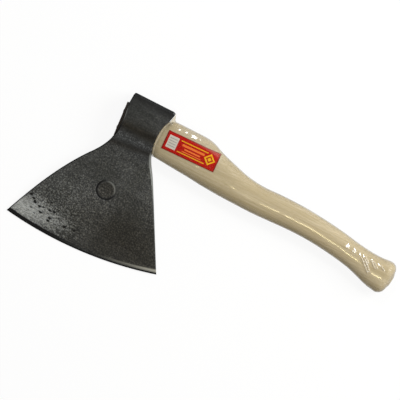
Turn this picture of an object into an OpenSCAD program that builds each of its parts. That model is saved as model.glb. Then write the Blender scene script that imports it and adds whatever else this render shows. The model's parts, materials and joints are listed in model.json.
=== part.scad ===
// Hatchet with a forged broad-bladed head, wedged on a curved birch handle that is sleeved in clear film.
// Design axes: X runs along the handle to the knob, +Y from the eye to the poll, Z across the cheeks,
// with the zero at the middle of the eye. Every piece is then laid on the bench as the hatchet comes to rest.

/* [Head] */
// Length of the poll along the handle
poll_l = 53; // [48:1:58]
// Height of the poll's striking face above the middle of the eye
poll_y = 33.5; // [32:0.5:38]
// Width of the poll's striking face
poll_w = 29; // [26:0.5:32]
// Width across the cheeks, at the middle of the eye
cheek_w = 34; // [32:0.5:37]
// Length of the cheeks along the handle, at their waist
waist_l = 43.5; // [40:0.5:46]
// Thickness of the blade where it leaves the cheeks
neck_w = 14; // [12:0.5:16]
// Thickness of the blade just above the ground bevel
blade_w = 3.6; // [2.8:0.2:5]

/* [Eye] */
// Height of the eye, from the poll side to the blade side
eye_h = 43; // [41:0.5:45]
// Width of the eye between the cheeks
eye_w = 21; // [19:0.5:22]

/* [Cutting edge] */
// Distance from the middle of the eye to the lowest point of the edge
edge_y = 160; // [150:1:170]
// Radius of the curved edge
edge_r = 458; // [380:2:560]
// How far the lowest point of the edge lies towards the toe
edge_low_x = 30; // [20:1:40]
// Distance from the middle of the eye to the toe, along the handle
toe_x = 96; // [88:1:102]
// Distance from the middle of the eye to the heel, along the handle
heel_x = 92.5; // [86:0.5:98]
// Half angle of the ground bevel
bevel_angle = 20; // [16:1:26]
// Thickness left at the very edge
edge_w = 0.4; // [0.2:0.1:0.8]

/* [Punch mark] */
// Radius of the punched ring on the blade
ring_r = 11; // [8:0.5:13]
// Width of the punched ring's line
ring_line = 1.2; // [0.8:0.1:1.8]
// Depth of the punched ring
ring_depth = 0.4; // [0.2:0.1:0.6]

/* [Handle] */
// Length of tenon standing out past the poll, at the middle of the eye
tenon_proud = 1.5; // [1:0.5:4]
// Skew of the saw cut across the tenon's end, longest towards the poll
tenon_skew = 4; // [0:0.5:6]
// Distance from the middle of the eye to the knob's end
handle_reach = 336; // [330:1:345]
// Radius that rounds the knob's end
knob_round = 8; // [5:0.5:9]
// Lean of the knob's end face, as a share of its height
knob_lean = 0.08; // [0:0.01:0.25]

/* [Wedges] */
// Depth of the wooden wedge in the tenon
wood_wedge_d = 36; // [28:1:42]
// Thickness of the wooden wedge at the tenon's end
wood_wedge_t = 5; // [3:0.5:6]
// Depth of a steel wedge
steel_wedge_d = 24; // [18:1:30]
// Thickness of a steel wedge at the tenon's end
steel_wedge_t = 3.5; // [2.5:0.5:5]
// Width of a steel wedge
steel_wedge_w = 15; // [12:0.5:16]
// Distance of each steel wedge from the middle of the tenon
steel_wedge_y = 10; // [7:0.5:13]

/* [Label] */
// Length of the label
label_l = 66.5; // [56:0.5:68]
// Height of the label
label_h = 23; // [18:0.5:24]
// Thickness of the label card
label_t = 0.15; // [0.1:0.05:0.2]
// Turn of the label from the handle's line
label_turn = 1.8; // [0:0.1:2.5]

/* [Film] */
// Thickness of the film sleeve
film_t = 0.2; // [0.15:0.05:0.3]
// Space between the wood and the film, where the label lies
film_gap = 0.45; // [0.4:0.05:0.6]
// Gap between the poll and the film's mouth
film_mouth_gap = 1.1; // [0.6:0.1:3]
// Share of the knob's end face that the film leaves open
film_hole = 0.45; // [0.3:0.05:0.6]

/* [Hidden] */
$fn = 128;

// Finishes
STEEL = "#3f3f3c";
BIRCH = "#d8c49a";
STAINED = "#4a4036";
BRIGHT_STEEL = "#8d8f90";
RED_CARD = "#b8140f";
CLEAR = [0.92, 0.93, 0.94, 0.3];

// Sampling of the curves and of the swept skins
curve_steps = 10;
skin_sides = 40;
cap_rings = 5;
label_columns = 22;
label_rows = 22;

// Spare length that carries a cut right through the piece it cuts
spare = 60;

// Space between the wood and the label's underside
label_lift = 0.16;

// Head, side view. The poll is set a little towards the handle, the waist lies about the eye's middle.
poll_shift = 2;
poll_back = poll_shift - poll_l / 2;
poll_front = poll_shift + poll_l / 2;
poll_corner = 1.6;
shoulder_y = eye_h / 2;
waist_back = -waist_l / 2 - 0.4;
waist_front = waist_l / 2 - 0.4;
neck_y = -23;
neck_back = [-25, neck_y];
neck_front = [25.6, neck_y - 1];
flare_back = [-41.3, -52];
flare_front = [40.4, -49];
edge_centre = [-edge_low_x, edge_r - edge_y];
function edge_at(x) = edge_centre.y - sqrt(edge_r * edge_r - pow(x - edge_centre.x, 2));
toe = [-toe_x, edge_at(-toe_x)];
heel = [heel_x, edge_at(heel_x)];
edge_overshoot = 12;

// Head, across the cheeks
poll_chamfer = 1;
cheek_full_y = 2;
neck_full_y = -33;
bevel_y = edge_y - (blade_w - edge_w) / 2 / tan(bevel_angle);
blade_foot_y = -edge_y - edge_overshoot;

// Where the punched ring sits on the blade
ring_at = [-3.6, -81.6];

// Handle stations: place along X, middle of the section in Y, half height, half width, squareness of the section
tenon_end = poll_back - tenon_proud;
tenon_waste = 4;
tenon_start = tenon_end - tenon_waste;
tenon_half_h = 21;
tenon_half_w = 10.2;
knob_half_w = 13.5;
HANDLE = [
    [tenon_start, 0, tenon_half_h, tenon_half_w, 2.6],
    [-10, 0, tenon_half_h, tenon_half_w, 2.6],
    [16, 0, tenon_half_h, tenon_half_w, 2.6],
    [poll_front - 2.5, 0.1, tenon_half_h + 0.1, tenon_half_w + 0.2, 2.6],
    [poll_front + 2, 0.9, 23.1, 12.6, 2.9],
    [poll_front + 6.5, 1.1, 23.6, 13.2, 3],
    [56, 0.4, 24.3, 13.3, 3],
    [74, -0.3, 24.8, 13.2, 2.9],
    [84, -1.7, 24.4, 13, 2.8],
    [98, -5, 22.2, 12.8, 2.7],
    [116, -8.2, 19.9, 12.4, 2.5],
    [136, -11.1, 17.4, 12, 2.4],
    [157, -12.4, 16.3, 11.7, 2.4],
    [180, -11.6, 16.2, 11.5, 2.4],
    [206, -11.1, 15.6, 11.3, 2.4],
    [232, -12.2, 15, 11.2, 2.4],
    [260, -15.2, 14.8, 11.3, 2.4],
    [284, -19.2, 14.8, 11.8, 2.4],
    [300, -22.5, 16, 12.4, 2.4],
    [314, -24.9, 17.8, 13.2, 2.4],
    [325, -25.4, 19.2, knob_half_w, 2.5],
    [handle_reach, -26.4, 20.2, knob_half_w, 2.5]
];
film_start = poll_front + film_mouth_gap;
lean_start = 285;
lean_full = 318;

// Rest on the bench: the poll end rolls up until a cheek and the top of the bevel both touch.
rest_roll = atan((cheek_w - blade_w) / 2 / bevel_y);
rest_lift = bevel_y * sin(rest_roll) + blade_w / 2 * cos(rest_roll);
knob_tip = handle_reach + film_gap + film_t + knob_lean * (20 - knob_round);
rest_middle = [
    (knob_tip - toe_x) / 2,
    ((poll_y - edge_y) * cos(rest_roll) + poll_w / 2 * sin(rest_roll)) / 2
];
module lying() {
    translate([-rest_middle.x, -rest_middle.y, rest_lift])
        rotate([rest_roll, 0, 0])
            children();
}

// Points of a cubic curve, from just after a to d
function curve(a, b, c, d, steps = curve_steps) = [
    for (i = [1 : steps]) let (t = i / steps, u = 1 - t)
        u * u * u * a + 3 * u * u * t * b + 3 * u * t * t * c + t * t * t * d
];

// Slope of a column of the stations at one station, from its neighbours
function slope_at(rows, i, column) =
    let (a = rows[max(i - 1, 0)], b = rows[min(i + 1, len(rows) - 1)])
    (b[column] - a[column]) / (b[0] - a[0]);

// Smooth value of a column of the stations at x
function along(rows, column, x, i = 0) =
    i < len(rows) - 2 && x > rows[i + 1][0] ? along(rows, column, x, i + 1) :
    let (
        a = rows[i],
        b = rows[i + 1],
        d = b[0] - a[0],
        t = (x - a[0]) / d,
        m = slope_at(rows, i, column) * d,
        n = slope_at(rows, i + 1, column) * d
    )
    a[column] * (2 * t * t * t - 3 * t * t + 1) + m * (t * t * t - 2 * t * t + t)
    + b[column] * (3 * t * t - 2 * t * t * t) + n * (t * t * t - t * t);

function ease(t) = let (s = min(max(t, 0), 1)) s * s * (3 - 2 * s);
function lean_at(x) = knob_lean * ease((x - lean_start) / (lean_full - lean_start));
function signed_power(v, p) = sign(v) * pow(abs(v), p);

// One closed ring of the handle's skin at x, grown by grow, with its section drawn in by inset
// and its place pushed on by push
function ring(x, grow = 0, inset = 0, push = 0) =
    let (
        middle = along(HANDLE, 1, x),
        half_h = along(HANDLE, 2, x) + grow - inset,
        half_w = along(HANDLE, 3, x) + grow - inset,
        power = 2 / along(HANDLE, 4, x)
    )
    [
        for (k = [0 : skin_sides - 1]) let (
            angle = 360 * k / skin_sides,
            y = half_h * signed_power(cos(angle), power),
            z = half_w * signed_power(sin(angle), power)
        )
        [x + push + lean_at(x) * y, middle + y, z]
    ];

// Height of the handle's upper face, grown by grow, over a point of the side view
function face_z(x, y, grow) =
    let (
        reach = min(abs((y - along(HANDLE, 1, x)) / (along(HANDLE, 2, x) + grow)), 1),
        power = along(HANDLE, 4, x)
    )
    (along(HANDLE, 3, x) + grow) * pow(1 - pow(reach, power), 1 / power);

// Triangles between consecutive rings of the same number of points
function ring_faces(rings, sides) = [
    for (r = [0 : rings - 2], k = [0 : sides - 1]) let (
        a = r * sides + k,
        b = r * sides + (k + 1) % sides
    ) each [[a, b + sides, b], [a, a + sides, b + sides]]
];
function flat(list) = [for (part = list) each part];

// Places along the handle where its skin is drawn: each station and the middle of the gap to the next
knob_start = handle_reach - knob_round;
skin_places = [
    for (i = [0 : len(HANDLE) - 2])
        each [HANDLE[i][0], (HANDLE[i][0] + HANDLE[i + 1][0]) / 2]
];

// Rings that round the knob's end, grown by grow
function knob_rings(grow = 0) = [
    for (i = [0 : cap_rings]) let (
        angle = 90 * i / cap_rings,
        radius = knob_round + grow
    )
    ring(knob_start, grow, radius * (1 - cos(angle)), radius * sin(angle))
];

// Side view of the head: poll, waisted cheeks, flared blade
module head_outline() {
    polygon(concat(
        [
            [poll_back, poll_y],
            [poll_back - 0.6, shoulder_y]
        ],
        curve([poll_back - 0.6, shoulder_y], [waist_back - 0.4, 8], [waist_back + 2, -9], neck_back),
        curve(neck_back, [-26.3, -30], [-32, -41], flare_back),
        curve(flare_back, [-67, -86], [toe.x + 14, toe.y + 34], toe),
        [
            [toe.x, toe.y - edge_overshoot],
            [heel.x, heel.y - edge_overshoot],
            heel,
            flare_front
        ],
        curve(flare_front, [34.3, -38], [28.2, -31], neck_front),
        curve(neck_front, [waist_front - 1.2, -8], [waist_front - 1.4, 12], [poll_front - 2.6, shoulder_y]),
        [
            [poll_front, poll_y - poll_corner],
            [poll_front - poll_corner, poll_y]
        ]
    ));
}

// One side of the head's cross section, as height above the middle plane at each Y
poll_half = poll_w / 2;
cheek_half = cheek_w / 2;
neck_half = neck_w / 2;
blade_half = blade_w / 2;
head_side = concat(
    [
        [poll_y, poll_half - poll_chamfer],
        [poll_y - poll_chamfer, poll_half]
    ],
    curve([poll_y - poll_chamfer, poll_half], [24, poll_half + 1.2], [14, cheek_half], [cheek_full_y, cheek_half]),
    curve([cheek_full_y, cheek_half], [-13, cheek_half], [-18, neck_half + 3.4], [neck_full_y, neck_half]),
    curve(
        [neck_full_y, neck_half],
        [-48, neck_half - 2],
        [-100, blade_half + 2],
        [-bevel_y, blade_half]
    ),
    [[blade_foot_y, blade_half - 0.5]]
);
function mirrored(side) = [for (i = [len(side) - 1 : -1 : 0]) [side[i].x, -side[i].y]];

// Cross section carried along the handle's direction
module head_section() {
    rotate([90, 0, 90])
        linear_extrude(2 * (toe_x + spare), center = true)
            polygon(concat(head_side, mirrored(head_side)));
}

// Ring-shaped blank whose rim is the cutting edge, with the ground bevel on both faces
blank_half = 20;
blank_depth = (blank_half - edge_w / 2) / tan(bevel_angle);
blank_inner = edge_r - edge_y - poll_y - 5;
module edge_blank() {
    translate([edge_centre.x, edge_centre.y, 0])
        rotate_extrude()
            polygon([
                [blank_inner, -blank_half],
                [edge_r - blank_depth, -blank_half],
                [edge_r, -edge_w / 2],
                [edge_r, edge_w / 2],
                [edge_r - blank_depth, blank_half],
                [blank_inner, blank_half]
            ]);
}

// Eye, right through the head: two round ends and the flat between them
module eye_hole() {
    eye_r = eye_w / 2;
    rotate([90, 0, 90])
        linear_extrude(poll_l + spare, center = true) {
            for (side = [-1, 1])
                translate([side * (eye_h / 2 - eye_r), 0]) circle(eye_r);
            square([eye_h - eye_w, eye_w], center = true);
        }
}

// Blade face at the punched ring: its height and its fall towards the edge
ring_face = lookup(-ring_at.y, [for (p = head_side) [-p.x, p.y]]);
ring_fall = atan(
    (lookup(-ring_at.y - ring_r, [for (p = head_side) [-p.x, p.y]])
    - lookup(-ring_at.y + ring_r, [for (p = head_side) [-p.x, p.y]])) / (2 * ring_r)
);
module punched_ring() {
    translate([ring_at.x, ring_at.y, ring_face - ring_depth])
        rotate([ring_fall, 0, 0])
            rotate_extrude()
                translate([ring_r - ring_line / 2, 0]) square([ring_line, 2]);
}

module axe_head() {
    color(STEEL) lying() difference() {
        intersection() {
            linear_extrude(2 * blank_half, center = true) head_outline();
            head_section();
            edge_blank();
        }
        eye_hole();
        punched_ring();
    }
}

// What the skewed saw cut takes off the tenon and its wedges
module sawn_off() {
    translate([tenon_end, 0, 0])
        rotate([0, 0, tenon_skew])
            translate([-spare, -spare, -spare])
                cube([spare, 2 * spare, 2 * spare]);
}

// Side view of a wedge, thick at the tenon's end and thin inside
module wedge_side(depth, thick, tip) {
    polygon([
        [tenon_start, -thick / 2],
        [tenon_end + depth, -tip / 2],
        [tenon_end + depth, tip / 2],
        [tenon_start, thick / 2]
    ]);
}

// Wooden wedge, along the eye
module wood_wedge_blank() {
    rotate([90, 0, 0])
        linear_extrude(2 * tenon_half_h, center = true)
            wedge_side(wood_wedge_d, wood_wedge_t, wood_wedge_t / 5);
}

// Steel wedge driven across the wooden one; side is +1 towards the poll and -1 towards the blade
module steel_wedge_blank(side) {
    translate([0, side * steel_wedge_y, 0])
        linear_extrude(steel_wedge_w, center = true)
            wedge_side(steel_wedge_d, steel_wedge_t, steel_wedge_t / 7);
}

// Whole skin of the handle, from the uncut tenon to the rounded knob
module handle_blank() {
    rings = concat(
        [for (x = skin_places) if (x < knob_start - 2) ring(x)],
        knob_rings()
    );
    last = len(rings) - 1;
    sides = skin_sides;
    polyhedron(
        flat(rings),
        concat(
            ring_faces(len(rings), sides),
            [[for (k = [0 : sides - 1]) k]],
            [[for (k = [sides - 1 : -1 : 0]) last * sides + k]]
        )
    );
}

module handle() {
    color(BIRCH) lying() difference() {
        handle_blank();
        wood_wedge_blank();
        for (side = [-1, 1]) steel_wedge_blank(side);
        sawn_off();
    }
}

module wood_wedge() {
    color(STAINED) lying() difference() {
        intersection() {
            wood_wedge_blank();
            cube([2 * spare, 2 * tenon_half_h - 0.4, eye_w], center = true);
        }
        for (side = [-1, 1]) steel_wedge_blank(side);
        sawn_off();
    }
}

module steel_wedge(side) {
    color(BRIGHT_STEEL) lying() difference() {
        steel_wedge_blank(side);
        sawn_off();
    }
}

// Card label, laid on the handle's upper face and bent with it
label_at = [film_start + 1 + label_l / 2, 4.2];
function label_point(i, j, grow) =
    let (
        a = (i / label_columns - 0.5) * label_l,
        b = (j / label_rows - 0.5) * label_h,
        x = label_at.x + a * cos(label_turn) - b * sin(label_turn),
        y = label_at.y + a * sin(label_turn) + b * cos(label_turn)
    )
    [x, y, face_z(x, y, grow)];

module label() {
    columns = label_columns + 1;
    rows = label_rows + 1;
    sheet = columns * rows;
    under = [for (j = [0 : label_rows], i = [0 : label_columns]) label_point(i, j, label_lift)];
    over = [for (j = [0 : label_rows], i = [0 : label_columns]) label_point(i, j, label_lift + label_t)];
    rim = concat(
        [for (i = [0 : label_columns - 1]) i],
        [for (j = [0 : label_rows - 1]) j * columns + label_columns],
        [for (i = [label_columns : -1 : 1]) label_rows * columns + i],
        [for (j = [label_rows : -1 : 1]) j * columns]
    );
    color(RED_CARD) lying() polyhedron(
        concat(under, over),
        concat(
            [for (j = [0 : label_rows - 1], i = [0 : label_columns - 1]) let (a = j * columns + i)
                each [[a, a + 1, a + columns + 1], [a, a + columns + 1, a + columns]]],
            [for (j = [0 : label_rows - 1], i = [0 : label_columns - 1]) let (a = sheet + j * columns + i)
                each [[a, a + columns + 1, a + 1], [a, a + columns, a + columns + 1]]],
            [for (k = [0 : len(rim) - 1]) let (a = rim[k], b = rim[(k + 1) % len(rim)])
                each [[a, sheet + a, sheet + b], [a, sheet + b, b]]]
        )
    );
}

// Film sleeve: outer skin from the mouth to the hole over the knob's end, then the inner skin back
function film_skin(grow) = concat(
    [ring(film_start, grow)],
    [for (x = skin_places) if (x > film_start + 0.5 && x < knob_start - 2) ring(x, grow)],
    knob_rings(grow),
    [film_rim(grow)]
);
function film_rim(grow) =
    let (
        face = ring(knob_start, grow, knob_round + grow, knob_round + grow),
        middle = [handle_reach + grow, along(HANDLE, 1, knob_start), 0]
    )
    [for (p = face) middle + (p - middle) * film_hole];

module shrink_film() {
    outer = film_skin(film_gap + film_t);
    inner = film_skin(film_gap);
    loop = concat(outer, [for (i = [len(inner) - 1 : -1 : 0]) inner[i]]);
    total = len(loop);
    sides = skin_sides;
    color(CLEAR) lying() polyhedron(
        flat(loop),
        concat(
            ring_faces(total, sides),
            [for (k = [0 : sides - 1]) let (
                a = (total - 1) * sides + k,
                b = (total - 1) * sides + (k + 1) % sides
            ) each [[a, (k + 1) % sides, b], [a, k, (k + 1) % sides]]]
        )
    );
}

axe_head();
handle();
wood_wedge();
steel_wedge(1);  // steel_wedge_upper
steel_wedge(-1);  // steel_wedge_lower
label();
shrink_film();
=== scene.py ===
"""Looks of a hatchet: a forged head wedged on a curved birch handle that is sleeved in clear shrink film.

Shapes are worked out in millimetres in the hatchet's own design axes: X runs along the handle to the knob,
+Y from the eye to the poll, Z across the cheeks, with the zero at the middle of the eye. place() then lays
them where the frame has the hatchet.
"""

import json
import math
from functools import partial
from types import SimpleNamespace

import bmesh
import bpy
import numpy as np
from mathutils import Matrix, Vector


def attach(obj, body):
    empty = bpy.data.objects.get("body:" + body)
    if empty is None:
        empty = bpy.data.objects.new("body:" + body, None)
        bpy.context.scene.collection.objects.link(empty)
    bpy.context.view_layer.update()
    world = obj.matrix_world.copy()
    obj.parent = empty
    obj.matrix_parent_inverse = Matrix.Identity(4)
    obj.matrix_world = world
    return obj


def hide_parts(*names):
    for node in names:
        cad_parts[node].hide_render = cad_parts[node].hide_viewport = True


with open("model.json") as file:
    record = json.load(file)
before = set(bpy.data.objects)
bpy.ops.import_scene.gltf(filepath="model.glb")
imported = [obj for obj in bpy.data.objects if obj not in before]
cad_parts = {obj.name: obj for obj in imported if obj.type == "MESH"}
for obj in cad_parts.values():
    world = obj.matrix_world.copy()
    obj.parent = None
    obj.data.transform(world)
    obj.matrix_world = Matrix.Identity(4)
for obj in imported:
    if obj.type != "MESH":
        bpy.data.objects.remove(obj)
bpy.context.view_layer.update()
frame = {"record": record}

bl_info = {
    "name": "Hatchet",
    "version": (1, 0, 0),
    "blender": (4, 5, 0),
    "location": "3D View > Sidebar > Hatchet",
    "description": "Builds a forged hatchet with a birch handle in clear shrink film",
    "category": "Add Mesh",
}

MM = 0.001
BODY = "root"


# Properties

def linear(code):
    """Linear light of an sRGB hex colour."""
    parts = [int(code[i:i + 2], 16) / 255 for i in (1, 3, 5)]
    return [v / 12.92 if v <= 0.04045 else ((v + 0.055) / 1.055) ** 2.4 for v in parts]


def length(name, about, size_mm):
    """A length that a user may change, written in millimetres and kept in metres."""
    return bpy.props.FloatProperty(
        name=name, description=about, default=size_mm * MM, unit="LENGTH", subtype="DISTANCE", precision=5
    )


def angle(name, about, degrees):
    """An angle that a user may change, written in degrees and kept in radians."""
    return bpy.props.FloatProperty(
        name=name, description=about, default=math.radians(degrees), unit="ROTATION", subtype="ANGLE"
    )


def share(name, about, default):
    """A plain number that a user may change."""
    return bpy.props.FloatProperty(name=name, description=about, default=default, min=0)


def colour(name, about, code):
    """A colour that a user may change, written as an sRGB hex value and kept as linear light."""
    return bpy.props.FloatVectorProperty(
        name=name, description=about, default=linear(code), size=3, subtype="COLOR", min=0, max=1
    )


class HeadSettings(bpy.types.PropertyGroup):
    """Sizes and colours of the forged head."""

    poll_l: length("Poll length", "Length of the poll along the handle", 53)
    poll_y: length("Poll height", "Height of the striking face above the middle of the eye", 33.5)
    poll_w: length("Poll width", "Width of the striking face", 29)
    cheek_w: length("Cheek width", "Width across the cheeks at the middle of the eye", 34)
    waist_l: length("Waist length", "Length of the cheeks along the handle at their waist", 43.5)
    neck_w: length("Neck width", "Thickness of the blade where it leaves the cheeks", 14)
    blade_w: length("Blade width", "Thickness of the blade above the ground bevel", 3.6)
    eye_h: length("Eye height", "Height of the eye from the poll side to the blade side", 43)
    eye_w: length("Eye width", "Width of the eye between the cheeks", 21)
    edge_y: length("Edge reach", "Distance from the middle of the eye to the lowest point of the edge", 160)
    edge_r: length("Edge radius", "Radius of the curved edge", 458)
    edge_low_x: length("Edge low point", "How far the lowest point of the edge lies towards the toe", 30)
    toe_x: length("Toe reach", "Distance from the middle of the eye to the toe along the handle", 96)
    heel_x: length("Heel reach", "Distance from the middle of the eye to the heel along the handle", 92.5)
    edge_w: length("Edge thickness", "Thickness left at the very edge", 0.4)
    ring_r: length("Ring radius", "Radius of the punched ring on the blade", 11)
    ring_line: length("Ring line", "Width of the punched ring's line", 1.8)
    ring_depth: length("Ring depth", "Depth of the punched ring", 0.45)
    bevel_angle: angle("Bevel angle", "Half angle of the ground bevel", 20)
    scale_dark: colour("Dark scale", "Darker stretches of the forging scale", "#2d2e2d")
    scale_pale: colour("Pale scale", "Paler stretches of the forging scale", "#3a3b3b")
    ground_bright: colour("Ground steel", "Steel ground bright near the toe", "#adb0b0")
    # Painted highlight on the heel side's rim, the cheek's rim beside the tenon and the ring's lip
    rim_highlight_tone: colour("Bare rim", "Steel rubbed bare at the rims", "#8e908b")
    # Black of the pits, also used for painted shade on the rims and in the ring's line and for painted dark
    # reflection on the bevel towards the toe
    bevel_dark: colour("Dark bevel", "Thick scale at the rims and the oiled bevel", "#10100f")
    # Painted reflection on the top of the bevel towards the heel
    bevel_bright: colour("Bright bevel", "Bright stretch of the bevel at the heel", "#a9a79c")
    # Brown oil and darker tone, and painted shade on the cheek's slope, in the neck's crease and on the eye's
    # walls
    oil_and_shade_tone: colour("Oiled scale", "Scale under a brown film of oil", "#201e1a")


class HandleSettings(bpy.types.PropertyGroup):
    """Sizes and colours of the birch handle."""

    tenon_proud: length("Tenon proud", "Length of tenon standing out past the poll", 1.5)
    tenon_chamfer: length("Tenon chamfer", "Broken edge round the tenon's end", 0.7)
    tenon_skew: angle("Tenon skew", "Skew of the saw cut across the tenon's end", 4)
    reach: length("Reach", "Distance from the middle of the eye to the knob's end", 336)
    knob_round: length("Knob rounding", "Radius that rounds the knob's end", 9)
    knob_dome: length("Knob dome", "Height of the dome on the knob's end", 2)
    knob_lean: share("Knob lean", "Lean of the knob's end face as a share of its height", 0.08)
    pale: colour("Pale birch", "Early wood of the birch", "#cec0a4")
    dark: colour("Dark birch", "Late wood of the birch", "#b5a583")
    stain: colour("Stain", "Dipped end of the tenon", "#2e2823")


class WedgeSettings(bpy.types.PropertyGroup):
    """Sizes and colours of the wedges in the tenon."""

    wood_d: length("Wooden wedge depth", "Depth of the wooden wedge in the tenon", 36)
    wood_t: length("Wooden wedge thickness", "Thickness of the wooden wedge at the tenon's end", 5)
    steel_d: length("Steel wedge depth", "Depth of a steel wedge", 24)
    steel_t: length("Steel wedge thickness", "Thickness of a steel wedge at the tenon's end", 3.5)
    steel_w: length("Steel wedge width", "Width of a steel wedge", 15)
    steel_y: length("Steel wedge place", "Distance of each steel wedge from the tenon's middle", 10)
    wood_proud: length("Wooden wedge proud", "How far the wooden wedge stands out of the tenon", 0.25)
    steel_proud: length("Steel wedge proud", "How far a steel wedge stands out of the tenon", 0.6)
    wood_dark: colour("Dark wedge wood", "Dark grain of the wooden wedge", "#3a2f26")
    wood_pale: colour("Pale wedge wood", "Pale grain of the wooden wedge", "#57483a")
    steel: colour("Wedge steel", "Driven end of a steel wedge", "#8b8a86")
    rust: colour("Rust", "Rust specks on a steel wedge", "#5b3d2a")


class LabelSettings(bpy.types.PropertyGroup):
    """Sizes and colours of the paper label."""

    size_l: length("Length", "Length of the label", 66.5)
    size_h: length("Height", "Height of the label", 23)
    paper_t: length("Thickness", "Thickness of the paper", 0.15)
    turn: angle("Turn", "Turn of the label from the handle's line", 1.8)
    red: colour("Red", "Ground of the print", "#b41008")
    deep_red: colour("Deep red", "Border of the print", "#7c0f10")
    yellow: colour("Yellow", "Diamond and lines of the print", "#eab21e")
    orange: colour("Orange", "Bars of the print", "#ec7a35")
    white: colour("White", "Blank panel of the print", "#cfcac2")
    grey: colour("Grey", "Ruled lines of the blank panel", "#8f8d8a")


class FilmSettings(bpy.types.PropertyGroup):
    """Sizes and colours of the shrink film."""

    film_t: length("Thickness", "Thickness of the film sleeve as drawn", 0.1)
    gap: length("Gap", "Space between the wood and the film", 0.45)
    hole: share("Hole", "Share of the knob's end face that the film leaves open", 0.45)
    fold: length("Fold height", "Height of the folds over the knob", 0.55)
    tint: colour("Tint", "What the film lets through head on", "#fdfdfc")
    haze: colour("Haze", "What the film lets through edge on", "#e4e1e2")
    milk: colour("Milk", "Crumpled film, where it scatters light", "#e9dfc9")


class StageSettings(bpy.types.PropertyGroup):
    """Camera, light and floor."""

    distance: length("Camera distance", "Height of the camera above the floor", 5000)
    field: length("Field", "Width of the picture at the hatchet", 462.4)
    look_x: length("Look X", "Middle of the picture along the handle, from the eye", 98.4)
    look_y: length("Look Y", "Middle of the picture towards the poll, from the eye", -42.8)
    roll: angle("Camera roll", "Turn of the picture against the handle's line", 27)
    floor: colour("Floor", "Floor and backdrop as seen", "#ffffff")
    bounce: colour("Bounce", "Floor as it throws light back on the hatchet", "#a0a0a0")
    shade: share("Shadow depth", "Share of the floor's own shading that shows in the picture", 0.1)
    sky: share("Sky", "Strength of the even light from all round", 0.28)
    ceiling: share("Ceiling", "Brightness of the ceiling overhead as the metal mirrors it", 0.48)
    key: share("Key", "Power of the large lamp on the poll's side, in watts", 25.5)
    spot: share("Spot", "Power of the small lamp that draws the glints on the film, in watts", 3.8)
    strip: share("Strip", "Power of the narrow lamp that draws the line along the grip, in watts", 1.6)
    glow: colour("Strip colour", "Colour of the narrow lamp", "#fff0bc")


class HatchetSettings(bpy.types.PropertyGroup):
    """All settings of the hatchet."""

    head: bpy.props.PointerProperty(type=HeadSettings, name="Head")
    handle: bpy.props.PointerProperty(type=HandleSettings, name="Handle")
    wedges: bpy.props.PointerProperty(type=WedgeSettings, name="Wedges")
    label: bpy.props.PointerProperty(type=LabelSettings, name="Label")
    film: bpy.props.PointerProperty(type=FilmSettings, name="Film")
    stage: bpy.props.PointerProperty(type=StageSettings, name="Stage")


def read_settings(context, *names):
    """The named groups of settings, with every length in millimetres and every colour with its alpha."""
    groups = [getattr(context.scene.hatchet, name) for name in names]
    found = [SimpleNamespace() for _ in groups]
    for group, kept in zip(groups, found):
        for prop in group.bl_rna.properties:
            value = getattr(group, prop.identifier)
            if prop.type == "FLOAT" and prop.subtype == "COLOR":
                setattr(kept, prop.identifier, (*value, 1))
            elif prop.type == "FLOAT":
                setattr(kept, prop.identifier, value / MM if prop.unit == "LENGTH" else value)
    return found


# Place in the frame

POLL_SHIFT = 2.0
MOUNTS = {mount["name"]: mount for mount in frame["record"]["mounts"]}
POLL_FACE = MOUNTS["poll_face"]
AXIS_X = np.array(MOUNTS["grip"]["axis"], float)
AXIS_Y = np.array(POLL_FACE["axis"], float)
AXES = np.stack([AXIS_X, AXIS_Y, np.cross(AXIS_X, AXIS_Y)])


def place(points):
    """Points of the design axes, in millimetres, as points of the frame, in metres.

    The poll face's mount is the middle of the striking face, which lies at (poll shift, poll height, 0).
    """
    poll_y = bpy.context.scene.hatchet.head.poll_y / MM
    middle = np.array([POLL_SHIFT, poll_y, 0])
    return np.array(POLL_FACE["pos_m"]) + (points - middle) @ AXES * MM


# Curves and surfaces

CURVE_STEPS = 40
MERGE_MM = 0.002
SHARP_ANGLE = math.radians(40)
WAVE_COUNT = 16
WAVE_SPREAD = (0.6, 1.5)
WAVE_PEAK = 1.4
TINY = 1e-6


def cubic(a, b, c, d):
    """Points of the cubic curve from a to d with the handles b and c."""
    t = np.linspace(0, 1, CURVE_STEPS)[:, None]
    u = 1 - t
    a, b, c, d = (np.array(p, float) for p in (a, b, c, d))
    return u ** 3 * a + 3 * u * u * t * b + 3 * u * t * t * c + t ** 3 * d


def straight(a, b):
    """Evenly spaced points from a to b."""
    return np.linspace(np.array(a, float), np.array(b, float), CURVE_STEPS)


def ease(t):
    """Smooth step from 0 to 1."""
    s = np.clip(t, 0, 1)
    return s * s * (3 - 2 * s)


def step(v, start, end):
    """Smooth step of v from 0 at start to 1 at end."""
    return ease((v - start) / (end - start))


def bump(t):
    """Bell of height 1 round zero."""
    return np.exp(-t * t)


def near(v, middle, half):
    """Bell of v round a middle, with the given half width."""
    return bump((v - middle) / half)


def signed_power(v, p):
    """Power of the size of v, with its sign. Rounding keeps the zeros of sines and cosines zero."""
    clean = np.round(v, 12)
    return np.sign(clean) * np.abs(clean) ** p


def graded(breaks, counts):
    """Numbers through the breaks, with the given count of even steps between each two."""
    runs = [np.linspace(a, b, n, endpoint=False) for a, b, n in zip(breaks, breaks[1:], counts)]
    return np.concatenate(runs + [breaks[-1:]])


def full_turn(count):
    """Even turns once round, in radians."""
    return np.linspace(0, 2 * np.pi, count, endpoint=False)


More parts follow.
